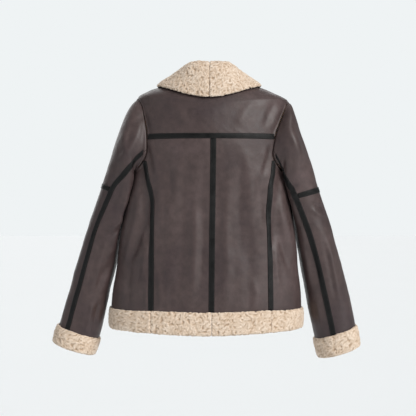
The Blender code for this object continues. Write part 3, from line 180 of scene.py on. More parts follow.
# The collar, by the way round the neck: 0 at the centre back, 90 at the side. The leaf's edge
# lies on the body at edge_level and edge_angle, and the fold stands over the neck seam.
COLLAR_COLUMNS = (
    "around", "edge_level", "edge_angle", "fold_rise", "fold_out", "leaf_round", "leaf_bow",
)
COLLAR_PLACES = (
    (0, -16.0, 90, 49, 4, 0.30, 9),
    (18, -15.0, 72, 49.5, 4, 0.30, 9),
    (34, -12.8, 57, 48, 4, 0.26, 8),
    (45, -10.0, 44, 42, 3.5, 0.20, 6),
    (60, -6.0, 29, 32, 2, 0.14, 3),
    (90, -1.5, -2, 22, 0, 0.12, 2),
    (120, -22.0, -28, 20, 2, 0.20, 9),
    (150, -78.0, -50, 19, 2, 0.30, 11),
    (172, -128.0, -66, 18, 2, 0.30, 11),
)

# The largest folds: each runs from one angle and height on the body to another, and then come
# its half width and its rise over the cloth, below zero for a trough.
BODY_FOLDS = (
    (30, -205, 6, -420, 24, 7.0),
    (36, -235, 16, -440, 15, -6.0),
    (58, -150, 48, -330, 16, 4.0),
    (45, -170, 50, -300, 12, -4.0),
    (74, -300, 70, -540, 20, 3.5),
    (83, -180, 80, -480, 18, -3.0),
    (48, -400, 52, -550, 15, 4.0),
    (106, -300, 109, -550, 20, 3.5),
    (98, -170, 101, -430, 18, -3.0),
    (126, -150, 134, -300, 16, 3.5),
    (134, -330, 130, -540, 16, -3.5),
    (150, -205, 174, -410, 24, 6.0),
    (143, -225, 163, -430, 14, -5.0),
    (-30, -205, -10, -430, 24, 6.0),
    (-60, -180, -66, -520, 22, 4.0),
    (-120, -190, -112, -520, 22, 4.0),
    (-150, -205, -168, -420, 24, 6.0),
)
# On a sleeve they run from one turn and station to another.
SLEEVE_FOLDS = {
    LEFT: (
        (70, 2.2, 96, 6.2, 15, 4.0),
        (118, 1.6, 122, 6.0, 13, -5.0),
        (62, 6.4, 88, 9.2, 13, 3.0),
        (140, 7.4, 104, 9.6, 12, -3.5),
        (300, 2.0, 285, 6.5, 16, 4.0),
        (262, 6.5, 290, 9.0, 13, -3.5),
    ),
    RIGHT: (
        (62, 2.2, 84, 5.9, 15, 4.0),
        (116, 1.6, 126, 6.0, 13, -5.0),
        (70, 6.6, 58, 9.4, 14, 3.0),
        (128, 6.6, 112, 9.4, 12, -3.5),
        (300, 2.0, 285, 6.5, 16, 4.0),
        (262, 6.5, 290, 9.0, 13, -3.5),
    ),
}


# Smooth curves through the tables

def smooth_curve(places, values):
    """A curve through the values that never swings past them between two places."""
    places = np.asarray(places, float)
    values = np.asarray(values, float)
    steps = np.diff(places)
    slopes = np.diff(values) / steps
    tangents = np.zeros(len(places))
    tangents[0] = slopes[0]
    tangents[-1] = slopes[-1]
    same_way = slopes[:-1] * slopes[1:] > 0
    weight_1 = 2 * steps[1:] + steps[:-1]
    weight_2 = steps[1:] + 2 * steps[:-1]
    safe_1 = np.where(same_way, slopes[:-1], 1.0)
    safe_2 = np.where(same_way, slopes[1:], 1.0)
    middle = (weight_1 + weight_2) / (weight_1 / safe_1 + weight_2 / safe_2)
    tangents[1:-1] = np.where(same_way, middle, 0.0)

    def curve(at):
        at = np.asarray(at, float)
        index = np.clip(np.searchsorted(places, at) - 1, 0, len(steps) - 1)
        step = steps[index]
        u = (at - places[index]) / step
        inside = np.clip(u, 0, 1)
        past = (u - inside) * step
        square, cube = inside**2, inside**3
        return (
            (2 * cube - 3 * square + 1) * values[index]
            + (cube - 2 * square + inside) * step * tangents[index]
            + (3 * square - 2 * cube) * values[index + 1]
            + (cube - square) * step * tangents[index + 1]
            + past * tangents[np.where(u < 0, index, index + 1)]
        )

    return curve


def smooth_columns(names, rows):
    """One smooth curve for each named column of a table, over its first column."""
    table = np.array(rows, float)
    return {name: smooth_curve(table[:, 0], table[:, k]) for k, name in enumerate(names) if k}


def ease(value, low, high):
    """0 at low, 1 at high, and smooth between them."""
    u = np.clip((value - low) / (high - low), 0, 1)
    return u * u * (3 - 2 * u)


BODY = smooth_columns(BODY_COLUMNS, BODY_RINGS)
SEAMS = smooth_columns(SEAM_COLUMNS, SEAM_PLACES)
ARMHOLE = smooth_columns(ARMHOLE_COLUMNS, ARMHOLE_PLACES)
SLEEVES = {side: smooth_columns(SLEEVE_COLUMNS, SLEEVE_SECTIONS[side]) for side in (LEFT, RIGHT)}
SLEEVE_SEAMS = smooth_columns(SLEEVE_SEAM_COLUMNS, SLEEVE_SEAM_PLACES)
COLLAR = smooth_columns(COLLAR_COLUMNS, COLLAR_PLACES)


# The body's surface

def fold_height(u, v, start_u, start_v, end_u, end_v, half_width, rise):
    """How far one fold lifts the cloth at (u, v), all in millimetres."""
    along_u, along_v = end_u - start_u, end_v - start_v
    length = np.hypot(along_u, along_v)
    share = ((u - start_u) * along_u + (v - start_v) * along_v) / length**2
    across = ((u - start_u) * along_v - (v - start_v) * along_u) / length
    bend = 0.35 * half_width * np.sin(3.0 * share + rise)
    taper = ease(share, -0.12, 0.30) * ease(share, 1.12, 0.62)
    return rise * taper * np.exp(-(((across - bend) / half_width) ** 2))


def body_folds(angle, height):
    """The folds' height over the body at an angle in radians and a height."""
    around = 165.0  # millimetres for a radian
    total = np.zeros(np.broadcast(angle, height).shape)
    for angle_1, height_1, angle_2, height_2, half_width, rise in BODY_FOLDS:
        start, end = math.radians(angle_1), math.radians(angle_2)
        beyond = np.mod(angle - start + math.pi, 2 * math.pi) - math.pi
        total = total + fold_height(
            beyond * around, height, 0.0, height_1, (end - start) * around, height_2,
            half_width, rise,
        )
    return total


def body_radius(angle, level):
    """How far the body's ring lies from its own middle, seen from above."""
    across, deep = np.abs(np.cos(angle)), np.abs(np.sin(angle))
    depth = np.where(np.sin(angle) > 0, BODY["depth_back"](level), BODY["depth_front"](level))
    square = BODY["square"](level)
    round_it = (across / BODY["half_width"](level)) ** square + (deep / depth) ** square
    return round_it ** (-1 / square) + body_folds(angle, level)


def body_point(angle, level):
    """The body's outer surface. The angle is 0 at the left side and 90 degrees at the back."""
    radius = body_radius(angle, level)
    rise = np.where(np.sin(angle) > 0, BODY["rise_back"](level), BODY["rise_front"](level))
    return np.stack(
        np.broadcast_arrays(
            BODY["shift"](level) + radius * np.cos(angle),
            radius * np.sin(angle),
            level + rise * np.sin(angle) ** 2,
        ),
        axis=-1,
    )


def unit(vectors):
    return vectors / np.maximum(np.linalg.norm(vectors, axis=-1, keepdims=True), 1e-9)


def body_normal(angle, level):
    step_angle, step_level = 0.004, 0.7
    around = body_point(angle + step_angle, level) - body_point(angle - step_angle, level)
    upward = body_point(angle, level + step_level) - body_point(angle, level - step_level)
    return unit(np.cross(around, upward))


def angle_at(across, level, front=False):
    """The angle of the ring's point at this distance from the middle plane."""
    square = BODY["square"](level)
    share = np.clip(np.abs(across - BODY["shift"](level)) / BODY["half_width"](level), 0, 0.9999)
    depth = BODY["depth_front"](level) if front else BODY["depth_back"](level)
    deep = depth * (1 - share**square) ** (1 / square)
    return np.arctan2(-deep if front else deep, across - BODY["shift"](level))


def side_angle(angle, side):
    """An angle measured from the left side, mirrored for the right."""
    return angle if side == LEFT else math.pi - angle


def armhole_place(turn, side):
    """The angle and level of the armhole's edge. The turn is in degrees, and over 180 in front."""
    turn = np.asarray(turn, float)
    folded = np.where(turn > 180, 360 - turn, turn)
    width = np.where(turn > 180, -ARMHOLE["front"](folded), ARMHOLE["back"](folded))
    angle = np.radians(width)
    height = ARMHOLE_MIDDLE[side] + ARMHOLE_HALF[side] * np.cos(np.radians(folded))
    level = height.copy()
    for _ in range(20):
        level = level + height - body_point(side_angle(angle, side), level)[..., 2]
    return side_angle(angle, side), level


def seam_angle(name, level, side=LEFT, front=False):
    """The angle of a seam at a level. The centre seams' distances are measured to the left."""
    return angle_at(side * SEAMS[name](level), level, front)


def seam_name(side):
    return "side_back_" + SIDE_NAMES[side]


def meeting_turn(side, front=False):
    """The armhole's turn where the side-back or the side-front seam meets it."""
    low, high = (100.0, 176.0) if not front else (184.0, 260.0)
    name = "side_front" if front else seam_name(side)
    for _ in range(40):
        middle = (low + high) / 2
        angle, level = armhole_place(middle, side)
        beyond = math.cos(angle) - math.cos(seam_angle(name, level, side, front))
        outside = beyond * side > 0
        if outside != front:
            high = middle
        else:
            low = middle
    return (low + high) / 2


BACK_MEETING = {side: meeting_turn(side) for side in (LEFT, RIGHT)}
FRONT_MEETING = {side: meeting_turn(side, front=True) for side in (LEFT, RIGHT)}


class Grid:
    """Rows and columns of points on a surface, with a direction out of it at each."""

    def __init__(self, points, normals):
        self.points = points
        self.normals = normals

    def moved(self, distance):
        return self.points + self.normals * np.asarray(distance)[..., None]


# Seams and edges

HEM_ROWS = (HEM_LEVEL, HEM_LEVEL + HEM_BAND_HEIGHT / 2, HEM_LEVEL + HEM_BAND_HEIGHT)
ELBOW_SEAM_TOP = -155.0  # where a sleeve's elbow seam meets the armhole
HALF_GAP = SEAM_GAP / 2
UPPER_STATION = 0.35  # the solids' first row of points below the armhole


def meeting_level(side, front=False):
    turn = FRONT_MEETING[side] if front else BACK_MEETING[side]
    return float(armhole_place(turn, side)[1])


def armhole_turn(level, side, front=False):
    """The turn at which the armhole's back or front edge is at this level."""
    turns = np.linspace(180, 360, 181) if front else np.linspace(180, 0, 181)
    levels = armhole_place(turns, side)[1]
    return np.interp(level, levels, turns)


def edge_at(turn, side, grow=HALF_GAP):
    """The armhole's edge, moved out of the armhole by about grow millimetres."""
    angle, level = armhole_place(turn, side)
    from_side = angle if side == LEFT else math.pi - angle
    from_side = from_side * (1 + grow / 75.0)
    level = level + (level - ARMHOLE_MIDDLE[side]) * grow / ARMHOLE_HALF[side]
    return side_angle(from_side, side), level


def angle_step(angle, level, distance):
    """The angle that moves a point of the ring by a distance along it."""
    nearby = 0.002
    moved = body_point(angle + nearby, level) - body_point(angle - nearby, level)
    return distance * 2 * nearby / np.linalg.norm(moved, axis=-1)


# Sleeves

SLEEVE_CLEARANCE = 3.4
ARMHOLE_BLEND = 3.0  # stations over which a sleeve leaves the armhole's exact shape


def greater(first, second, softness):
    """The greater of two lengths, rounded where they are nearly alike."""
    share = np.clip(0.5 + (first - second) / (2 * softness), 0, 1)
    return second + (first - second) * share + softness * share * (1 - share)


def sleeve_folds(side, turn, station):
    """The folds' height over a sleeve, by the turn in degrees and the station."""
    around, along = 0.85, 62.0  # millimetres for a degree, and for a station
    total = np.zeros(np.broadcast(turn, station).shape)
    for turn_1, station_1, turn_2, station_2, half_width, rise in SLEEVE_FOLDS[side]:
        total = total + fold_height(
            turn * around, station * along, turn_1 * around, station_1 * along,
            turn_2 * around, station_2 * along, half_width, rise,
        )
    return total


def sleeve_section(side, turn, station):
    """A sleeve's surface as its table gives it, before it meets the armhole and the body."""
    section = SLEEVES[side]
    angle = np.radians(turn)
    across, deep = np.cos(angle), np.sin(angle)
    square = section["square"](station)
    reach = (np.abs(across) ** square + np.abs(deep) ** square) ** (-1 / square)
    half_x = (section["out_x"](station) - section["in_x"](station)) / 2
    half_z = (section["out_z"](station) - section["in_z"](station)) / 2
    folds = sleeve_folds(side, np.mod(turn, 360), station) / np.hypot(half_x, half_z)
    reach = reach * (1 + folds)
    x = (section["out_x"](station) + section["in_x"](station)) / 2 + half_x * reach * across
    y = section["middle"](station) + section["depth"](station) * reach * deep
    z = (section["out_z"](station) + section["in_z"](station)) / 2 + half_z * reach * across
    return np.stack(np.broadcast_arrays(side * x, y, z), axis=-1)


def sleeve_point(side, turn, station):
    """A sleeve's outer surface: on the armhole at station 0, and clear of the body after it."""
    turn, station = np.broadcast_arrays(np.asarray(turn, float), np.asarray(station, float))
    place = sleeve_section(side, turn, station)
    armhole = body_point(*edge_at(np.mod(turn, 360), side, -HALF_GAP))
    share = np.clip(1 - station / ARMHOLE_BLEND, 0, 1)[..., None] ** 2
    place = place + (armhole - sleeve_section(side, turn, 0 * station)) * share
    x, y, z = np.moveaxis(place, -1, 0)
    level = np.clip(z, HEM_LEVEL - 60, YOKE_LEVEL)
    shift = BODY["shift"](level)
    angle = np.arctan2(y, x - shift)
    radius = np.hypot(x - shift, y)
    held = ease(station, 0, 0.3) * ease(z, -60, -125)
    body = body_radius(angle, level) + SLEEVE_CLEARANCE
    pushed = greater(radius, body, 8 + 18 * ease(station, 0, 3)) - radius
    pushed = np.where(np.abs(y) < BODY["depth_front"](level), pushed, 0) * held
    x = x + pushed * np.cos(angle)
    y = y + pushed * np.sin(angle)
    return np.stack([x, y, z], axis=-1)


def sleeve_normal(side, turn, station):
    """The direction out of a sleeve."""
    small_turn, small_station = 12.0, 0.45
    station = np.asarray(station, float)
    before = np.maximum(station - small_station, 0)
    beyond = np.where(station < small_station, UPPER_STATION, station + small_station)
    around = sleeve_point(side, turn + small_turn, station) - sleeve_point(
        side, turn - small_turn, station
    )
    along = sleeve_point(side, turn, beyond) - sleeve_point(side, turn, before)
    return unit(np.cross(around, along)) * -side


# Bands of pile turned up over the edges: each section's height over the edge and its distance
# out of the cloth

HEM_PROFILE = (
    (HEM_BAND_HEIGHT, SEAM_GAP), (HEM_BAND_HEIGHT, 3.2), (HEM_BAND_HEIGHT - 4, BAND_PILE),
    (HEM_BAND_HEIGHT / 2, BAND_PILE + 1.0), (2, BAND_PILE), (-4.5, 3.5), (-7, -2.5), (-4.5, -8.5),
    (3, -11.5), (14, -10.5), (14, -WALL - SEAM_GAP), (-SEAM_GAP, -WALL - SEAM_GAP),
    (-SEAM_GAP, SEAM_GAP), (HEM_BAND_HEIGHT / 2, SEAM_GAP),
)


def band_sections(rows, normals, profile):
    """A profile set on each column of a panel's three lowest rows, which are listed upwards."""
    foot, middle, top = rows
    low_length = np.linalg.norm(middle - foot, axis=-1)[:, None]
    high_length = np.linalg.norm(top - middle, axis=-1)[:, None]
    low_way, high_way = (middle - foot) / low_length, (top - middle) / high_length
    sections = []
    reach = HEM_BAND_HEIGHT / (low_length + high_length)
    for height, out in profile:
        along = height / reach
        place = np.where(
            along < low_length, foot + low_way * along, middle + high_way * (along - low_length)
        )
        sections.append(place + normals * out)
    return np.stack(sections, axis=1)


# Collar

COLLAR_GAP = 0.8  # from the collar's foot to the neck's edge


def bezier(controls, share):
    first, second, third, fourth = controls
    share = np.asarray(share)[..., None]
    rest = 1 - share
    return (
        rest**3 * first + 3 * rest**2 * share * second
        + 3 * rest * share**2 * third + share**3 * fourth
    )


def collar_line(side, around, down):
    """The middle of the collar's cloth.

    Down is 0 at the neck seam, 1 at the fold and 2 at the leaf's edge.
    """
    around, down = np.broadcast_arrays(np.asarray(around, float), np.asarray(down, float))
    angle = math.pi / 2 - side * np.radians(around)
    level = np.full(around.shape, NECK_LEVEL)
    below = body_point(angle, level - 3)
    neck = body_point(angle, level)
    upward = unit(neck - below)
    base = neck - body_normal(angle, level) * WALL / 2 + upward * COLLAR_GAP
    out = unit(body_normal(angle, level) * np.array([1.0, 1.0, 0.0]))
    top = np.array([0.0, 0.0, 1.0])
    rise = COLLAR["fold_rise"](around)[..., None]
    fold = base + top * rise + out * COLLAR["fold_out"](around)[..., None]
    edge_angle = np.radians(COLLAR["edge_angle"](around))
    edge_angle = edge_angle if side == LEFT else math.pi - edge_angle
    edge_level = COLLAR["edge_level"](around)
    edge_out = body_normal(edge_angle, edge_level)
    edge = body_point(edge_angle, edge_level) + edge_out * (1.0 + COLLAR_PILE / 2)
    length = np.linalg.norm(edge - fold, axis=-1)[..., None]
    bow = COLLAR["leaf_bow"](around)[..., None]
    stand = (base, base + upward * rise * 0.4, fold - out * 9.0, fold)
    roundness = COLLAR["leaf_round"](around)[..., None]
    lower = edge + (fold - edge) * 0.35 + edge_out * bow
    leaf = (fold, fold + out * length * roundness, lower, edge)
    return np.where(
        (down < 1)[..., None], bezier(stand, np.clip(down, 0, 1)),
        bezier(leaf, np.clip(down - 1, 0, 1)),
    )


def collar_thickness(down):
    return WALL + (COLLAR_PILE - WALL) * ease(down, 0, 0.7) - 2.0 * ease(down, 1.85, 2.0)


def collar_grid(side, around, down):
    """The collar's middle surface, with the direction out of its pile."""
    around, down = np.broadcast_arrays(np.asarray(around, float), np.asarray(down, float))
    small = 0.01
    low, high = np.clip(down - small, 0, 2), np.clip(down + small, 0, 2)
    across = collar_line(side, around + 0.5, down) - collar_line(side, around - 0.5, down)
    along = collar_line(side, around, high) - collar_line(side, around, low)
    normals = unit(np.cross(across, along)) * side
    return Grid(collar_line(side, around, down), normals)


# Fine grids of the same surfaces

LEATHER_STEP = 3.2  # spacing of the leather's points
EDGE_STRIP = 9.0  # beside a seam the points lie closer
EDGE_STEP = 1.2
PILE_STEP = 1.3
INNER_EVERY = 3  # the inner face takes every third point
CLIMB = 1.7  # how late a row leaves the middle's level for the edge's

# Lengths over which the points are spaced, in millimetres
SPACED = {
    "yoke": 345.0, "back": 142.0, "side": 175.0, "side_height": 370.0, "front": 150.0,
    "armhole_back": 120.0, "armhole_front": 150.0, "shoulder": 100.0, "top_sleeve": 210.0,
    "under_sleeve": 165.0, "cuff": 270.0, "collar": 300.0, "yoke_tape": 340.0,
    "elbow_tape": 170.0,
}


def shares(length, low_edge=True, high_edge=True, step=LEATHER_STEP):
    """Places from 0 to 1 along a length, closer together beside its ends."""
    strip = np.arange(0.0, EDGE_STRIP, EDGE_STEP)
    low = strip if low_edge else np.zeros(1)
    high = length - strip[::-1] if high_edge else np.array([length])
    count = max(2, int(round((high[0] - low[-1]) / step)) + 1)
    between = np.linspace(low[-1], high[0], count)[1:-1]
    return np.concatenate([low, between, high]) / length


def body_grid(angle, level):
    return Grid(body_point(angle, level), body_normal(angle, level))


def inset(angles, levels, first=HALF_GAP, last=HALF_GAP):
    """Draws the first and last columns in from the seams they lie on."""
    way = np.sign(angles[:, -1] - angles[:, 0])
    start, end = angles[:, 0].copy(), angles[:, -1].copy()
    new_start = start + way * angle_step(start, levels[:, 0], first)
    new_end = end - way * angle_step(end, levels[:, -1], last)
    stretch = (new_end - new_start) / (end - start)
    return new_start[:, None] + (angles - start[:, None]) * stretch[:, None]


def panel_rows(side):
    """Levels from the hem to the meeting of the side-back seam and the armhole."""
    top = meeting_level(side)
    return HEM_LEVEL + (top - HEM_LEVEL) * shares(top - HEM_LEVEL, False, False)


def back_places(side, levels, columns):
    """Angles and levels of a back panel, from the centre back outwards."""
    armhole = edge_at(armhole_turn(levels, side), side, 0)[0]
    seam = seam_angle(seam_name(side), levels, side)
    outer = np.where(levels <= meeting_level(side), seam, armhole)
    centre = seam_angle("centre_back", levels)
    angles = centre[:, None] + (outer - centre)[:, None] * columns
    levels = np.broadcast_to(levels[:, None], angles.shape)
    return inset(angles, levels), levels


def side_places(side, rows, columns):
    """Angles and levels of a side panel, from the side-back to the side-front seam."""
    turns = np.linspace(BACK_MEETING[side], FRONT_MEETING[side], 721)
    top_angle = edge_at(turns, side)[0]
    from_side = top_angle if side == LEFT else math.pi - top_angle
    wanted = from_side[0] + (from_side[-1] - from_side[0]) * columns
    turns = np.interp(-wanted, -from_side, turns)
    column_angle, column_level = edge_at(turns, side)
    column_level[0], column_level[-1] = meeting_level(side), meeting_level(side, front=True)
    rise = (rows - HEM_LEVEL) / (meeting_level(side) - HEM_LEVEL)
    levels = HEM_LEVEL + rise[:, None] * (column_level - HEM_LEVEL)[None, :]
    start = seam_angle(seam_name(side), levels, side)
    end = seam_angle("side_front", levels, side, front=True)
    if side == RIGHT:
        end = np.where(end < 0, end + 2 * math.pi, end)
    angles = start + (end - start) * columns[None, :]
    top = np.interp(1.0, rise, np.arange(len(rise))) if rise[-1] < 1 else len(rise) - 1
    missed = column_angle - angles[int(top)] if rise[-1] >= 1 else 0 * column_angle
    missed[[0, -1]] = 0
    angles = angles + missed[None, :] * rise[:, None] ** 8
    return inset(angles, levels), levels


def upper_edge(side, start_turn, front):
    """The edge of an upper panel: up the armhole, then along the shoulder seam to the neck."""
    way = -1 if front else 1
    stop = 360.0 if front else 0.0
    length = SPACED["armhole_front" if front else "armhole_back"]
    turns = start_turn + (stop - start_turn) * shares(length)
    angles, levels = edge_at(turns, side)
    from_side = angles if side == LEFT else math.pi - angles
    from_side = way * np.maximum(way * from_side, angle_step(0.0, levels, HALF_GAP))
    neck_levels = levels[-1] + (NECK_LEVEL - levels[-1]) * shares(SPACED["shoulder"])[1:]
    neck_sides = way * angle_step(0.0 * neck_levels, neck_levels, HALF_GAP)
    from_side = np.concatenate([from_side, neck_sides])
    return side_angle(from_side, side), np.concatenate([levels, neck_levels])


def yoke_places(columns):
    """Angles and levels of the back yoke, from the left armhole to the right."""
    edges = []
    for side in (LEFT, RIGHT):
        start = armhole_turn(YOKE_LEVEL + HALF_GAP, side)
        edges.append(upper_edge(side, start, front=False))
    (left_angle, left_level), (right_angle, right_level) = edges
    count = len(left_level)
    centre = YOKE_LEVEL + HALF_GAP + (NECK_LEVEL - YOKE_LEVEL - HALF_GAP) * np.linspace(0, 1, count)
    share = 2 * columns[None, :] - 1
    angles = ((left_angle + right_angle) / 2)[:, None]
    angles = angles + share * ((right_angle - left_angle) / 2)[:, None]
    edge_level = np.where(share < 0, left_level[:, None], right_level[:, None])
    levels = centre[:, None] + (edge_level - centre[:, None]) * np.abs(share) ** CLIMB
    return angles, levels


def front_places(side, rows, columns, upper=True):
    """Angles and levels of a front, from the zip to the side-front seam and the armhole."""
    meeting = meeting_level(side, front=True)
    rise = (rows - HEM_LEVEL) / (meeting_level(side) - HEM_LEVEL)
    edge_levels = HEM_LEVEL + rise * (meeting - HEM_LEVEL)
    edge_angles = seam_angle("side_front", edge_levels, side, front=True)
    edge_angles = edge_angles - side * angle_step(edge_angles, edge_levels, HALF_GAP)
    centre_levels = edge_levels
    if upper:
        more_angles, more_levels = upper_edge(side, FRONT_MEETING[side], front=True)
        more_angles = more_angles[1:] if side == LEFT else more_angles[1:] - 2 * math.pi
        edge_angles = np.concatenate([edge_angles, more_angles])
        edge_levels = np.concatenate([edge_levels, more_levels[1:]])
        climb = np.linspace(meeting, NECK_LEVEL, len(more_angles) + 1)[1:]
        centre_levels = np.concatenate([centre_levels, climb])
    middle = seam_angle("centre_front", centre_levels, front=True)
    first = middle + side * angle_step(middle, centre_levels, ZIP_CHANNEL_HALF)
    angles = first[:, None] + (edge_angles - first)[:, None] * columns
    share = np.abs(angles - middle[:, None]) / np.abs(edge_angles - middle)[:, None]
    levels = centre_levels[:, None] + (edge_levels - centre_levels)[:, None] * share**CLIMB
    return angles, levels


SLEEVE_GAP_DEGREES = 0.2
STATION_LENGTH = 95.0  # at the elbow
SLEEVE_FADE_END = 2.0  # the station where the seams leave their places at the armhole
SLEEVE_FRONT_TOP = {LEFT: 243.7, RIGHT: 260.2}  # the front seam's turn at the armhole


def sleeve_seams(side, stations):
    """The turns of a sleeve's elbow and front seams."""
    fade = np.clip(1 - stations / SLEEVE_FADE_END, 0, 1)
    elbow = SLEEVE_SEAMS["elbow_" + SIDE_NAMES[side]]
    elbow_top = armhole_turn(ELBOW_SEAM_TOP, side)
    front = SLEEVE_SEAMS["front"]
    return (
        elbow(stations) + (elbow_top - elbow(0.0)) * fade,
        front(stations) + (SLEEVE_FRONT_TOP[side] - front(0.0)) * fade,
    )


def sleeve_grid(side, turns, stations):
    turns, stations = np.broadcast_arrays(turns, stations)
    return Grid(sleeve_point(side, turns, stations), sleeve_normal(side, turns, stations))


def walk(line):
    """How far along a line of points each of them lies."""
    return np.concatenate([[0.0], np.cumsum(np.linalg.norm(np.diff(line, axis=0), axis=-1))])


def stations_between(side, first, last, **kwargs):
    """Stations down a sleeve, evenly spaced along its middle."""
    fine = np.linspace(first, last, 400)
    section = SLEEVES[side]
    x = (section["out_x"](fine) + section["in_x"](fine)) / 2
    z = (section["out_z"](fine) + section["in_z"](fine)) / 2
    walked = walk(np.stack([x, z], axis=-1))
    return np.interp(shares(walked[-1], **kwargs) * walked[-1], walked, fine)


def sleeve_places(side, which):
    """Turns and stations of a top sleeve's upper or lower part, or of an under sleeve."""
    elbow = ELBOW_STATION[side]
    gap = HALF_GAP / STATION_LENGTH
    ends = {"upper": (0.0, elbow - gap), "lower": (elbow + gap, 11.0), "under": (0.0, 11.0)}
    stations = stations_between(side, *ends[which])
    elbow_turns, front_turns = sleeve_seams(side, stations)
    if which == "under":
        start, end, width = elbow_turns, front_turns, SPACED["under_sleeve"]
    else:
        start, end, width = front_turns - 360, elbow_turns, SPACED["top_sleeve"]
    start, end = start + SLEEVE_GAP_DEGREES, end - SLEEVE_GAP_DEGREES
    turns = start[:, None] + (end - start)[:, None] * shares(width)[None, :]
    return turns, np.broadcast_to(stations[:, None], turns.shape)


# Creases. Each is a soft ridge or trough along a line, given as its group, its half
# width and height in millimetres, and its points as they are seen from behind, in the view's
# pixels. The front takes the same lines, mirrored.

VIEW_SCALE = 875.0
VIEW_SIZE = 416.0
VIEW_MIDDLE = VIEW_SIZE / 2
CAMERA = (7.2, 2100.0, -288.0)
PIXEL = 2.4  # millimetres on the jacket
MIRROR_SHIFT = 6.0  # in pixels: the jacket's middle is half of this beside the view's

CREASES = (
    # the back fold below the yoke's ends, and the long vertical waves
    ("body", 7.0, 2.0, ((149, 145), (154, 158), (158, 178))),
    ("body", 6.0, -1.8, ((146, 142), (150, 156), (153, 176))),
    ("body", 12.0, 1.8, ((166, 150), (170, 200), (168, 262))),
    ("body", 11.0, -1.6, ((181, 160), (184, 220), (180, 290))),
    ("body", 10.0, 1.4, ((193, 190), (196, 240), (193, 300))),
    ("body", 11.0, 1.6, ((230, 165), (226, 220), (230, 290))),
    ("body", 10.0, -1.5, ((243, 150), (239, 210), (243, 270))),
    ("body", 12.0, 1.8, ((256, 150), (252, 205), (256, 262))),
    ("body", 7.0, -1.8, ((271, 143), (268, 158), (262, 178))),
    ("body", 7.0, 1.6, ((267, 145), (263, 160), (257, 182))),
    ("body", 6.5, 2.8, ((158, 268), (160, 290), (160, 314))),
    ("body", 6.0, 2.6, ((145, 272), (147, 292), (146, 314))),
    ("body", 7.0, -1.4, ((173, 280), (170, 296), (172, 314))),
    ("body", 8.0, 1.4, ((252, 276), (256, 294), (253, 314))),
    # the yoke, below the collar and by the shoulders
    ("body", 11.0, 1.3, ((168, 100), (180, 112), (186, 128))),
    ("body", 11.0, 1.3, ((256, 100), (244, 113), (238, 128))),
    ("body", 8.0, 1.8, ((283, 104), (276, 116), (271, 130))),
    ("body", 7.0, -1.5, ((276, 100), (269, 114), (264, 129))),
    ("body", 8.0, 1.6, ((143, 104), (150, 117), (153, 130))),
    # the side panels, which fall away beside their tapes, and are drawn from the armpits down
    ("body", 8.0, -5.5, ((142, 160), (143, 195), (147, 232), (150, 262))),
    ("body", 8.0, -5.5, ((281, 160), (278, 195), (275, 230), (273, 262))),
    ("body", 9.0, 2.2, ((158, 168), (160, 205), (161, 240))),
    ("body", 9.0, 2.2, ((262, 168), (260, 205), (260, 240))),
    ("body", 6.5, 3.4, ((140, 188), (137, 215), (130, 244), (124, 266))),
    ("body", 6.5, -4.6, ((149, 186), (146, 214), (138, 240), (129, 266))),
    ("body", 6.0, 2.0, ((147, 228), (145, 258), (140, 300))),
    ("body", 6.0, -2.0, ((131, 262), (128, 284), (128, 308))),
    ("body", 7.0, 1.2, ((285, 200), (288, 226), (294, 262))),
    ("body", 6.0, -2.6, ((277, 206), (281, 240), (290, 276))),
    ("body", 6.0, 1.8, ((274, 226), (276, 262), (280, 300))),
    # the left sleeve
    ("left", 8.0, 2.2, ((142, 118), (136, 138), (124, 160))),
    ("left", 7.0, -1.8, ((134, 122), (126, 142), (114, 162))),
    ("left", 7.0, 2.4, ((136, 166), (130, 190), (122, 216))),
    ("left", 5.0, -2.2, ((140, 176), (134, 200), (127, 222))),
    ("left", 6.0, -1.8, ((122, 178), (118, 196), (108, 214))),
    ("left", 5.0, 1.6, ((128, 214), (119, 224), (108, 230))),
    ("left", 5.0, -1.6, ((124, 225), (115, 233), (103, 238))),
    ("left", 7.0, 1.8, ((108, 232), (98, 268), (90, 306))),
    ("left", 6.0, -1.8, ((99, 240), (90, 274), (84, 300))),
    ("left", 5.0, -3.6, ((99, 300), (95, 320), (91, 338))),
    ("left", 5.0, 1.8, ((93, 300), (89, 320), (85, 336))),
    ("left", 6.0, 1.4, ((78, 288), (74, 306), (72, 324))),
    # the right sleeve
    ("right", 8.0, 2.0, ((286, 122), (296, 144), (306, 166))),
    ("right", 7.0, -1.8, ((292, 118), (303, 140), (311, 160))),
    ("right", 6.0, 2.0, ((284, 168), (288, 186), (297, 206))),
    ("right", 4.5, -1.8, ((297, 184), (292, 190), (286, 193))),
    ("right", 4.5, 1.6, ((299, 190), (294, 196), (287, 199))),
    ("right", 5.0, -1.6, ((312, 200), (318, 206), (327, 209))),
    ("right", 5.0, 1.4, ((310, 208), (318, 214), (328, 217))),
    ("right", 7.0, 2.0, ((300, 222), (306, 254), (312, 288))),
    ("right", 6.0, -1.8, ((308, 226), (314, 256), (321, 290))),
    ("right", 6.0, 1.6, ((328, 240), (335, 276), (342, 312))),
    ("right", 6.0, -1.6, ((322, 232), (330, 268), (336, 300))),
    ("right", 5.0, 1.6, ((316, 300), (320, 318), (323, 334))),
)
FRONT_OF = {"body": "body", "left": "right", "right": "left"}
CREASE_DEPTH = 1.5
CREASE_LIMIT = 6.0  # the most by which creases lift or sink the cloth together


def seen(points):
    """Where the view from behind shows the points."""
    depth = CAMERA[1] - points[..., 1]
    return (
        VIEW_MIDDLE + (CAMERA[0] - points[..., 0]) * VIEW_SCALE / depth,
        VIEW_MIDDLE + (CAMERA[2] - points[..., 2]) * VIEW_SCALE / depth,
    )


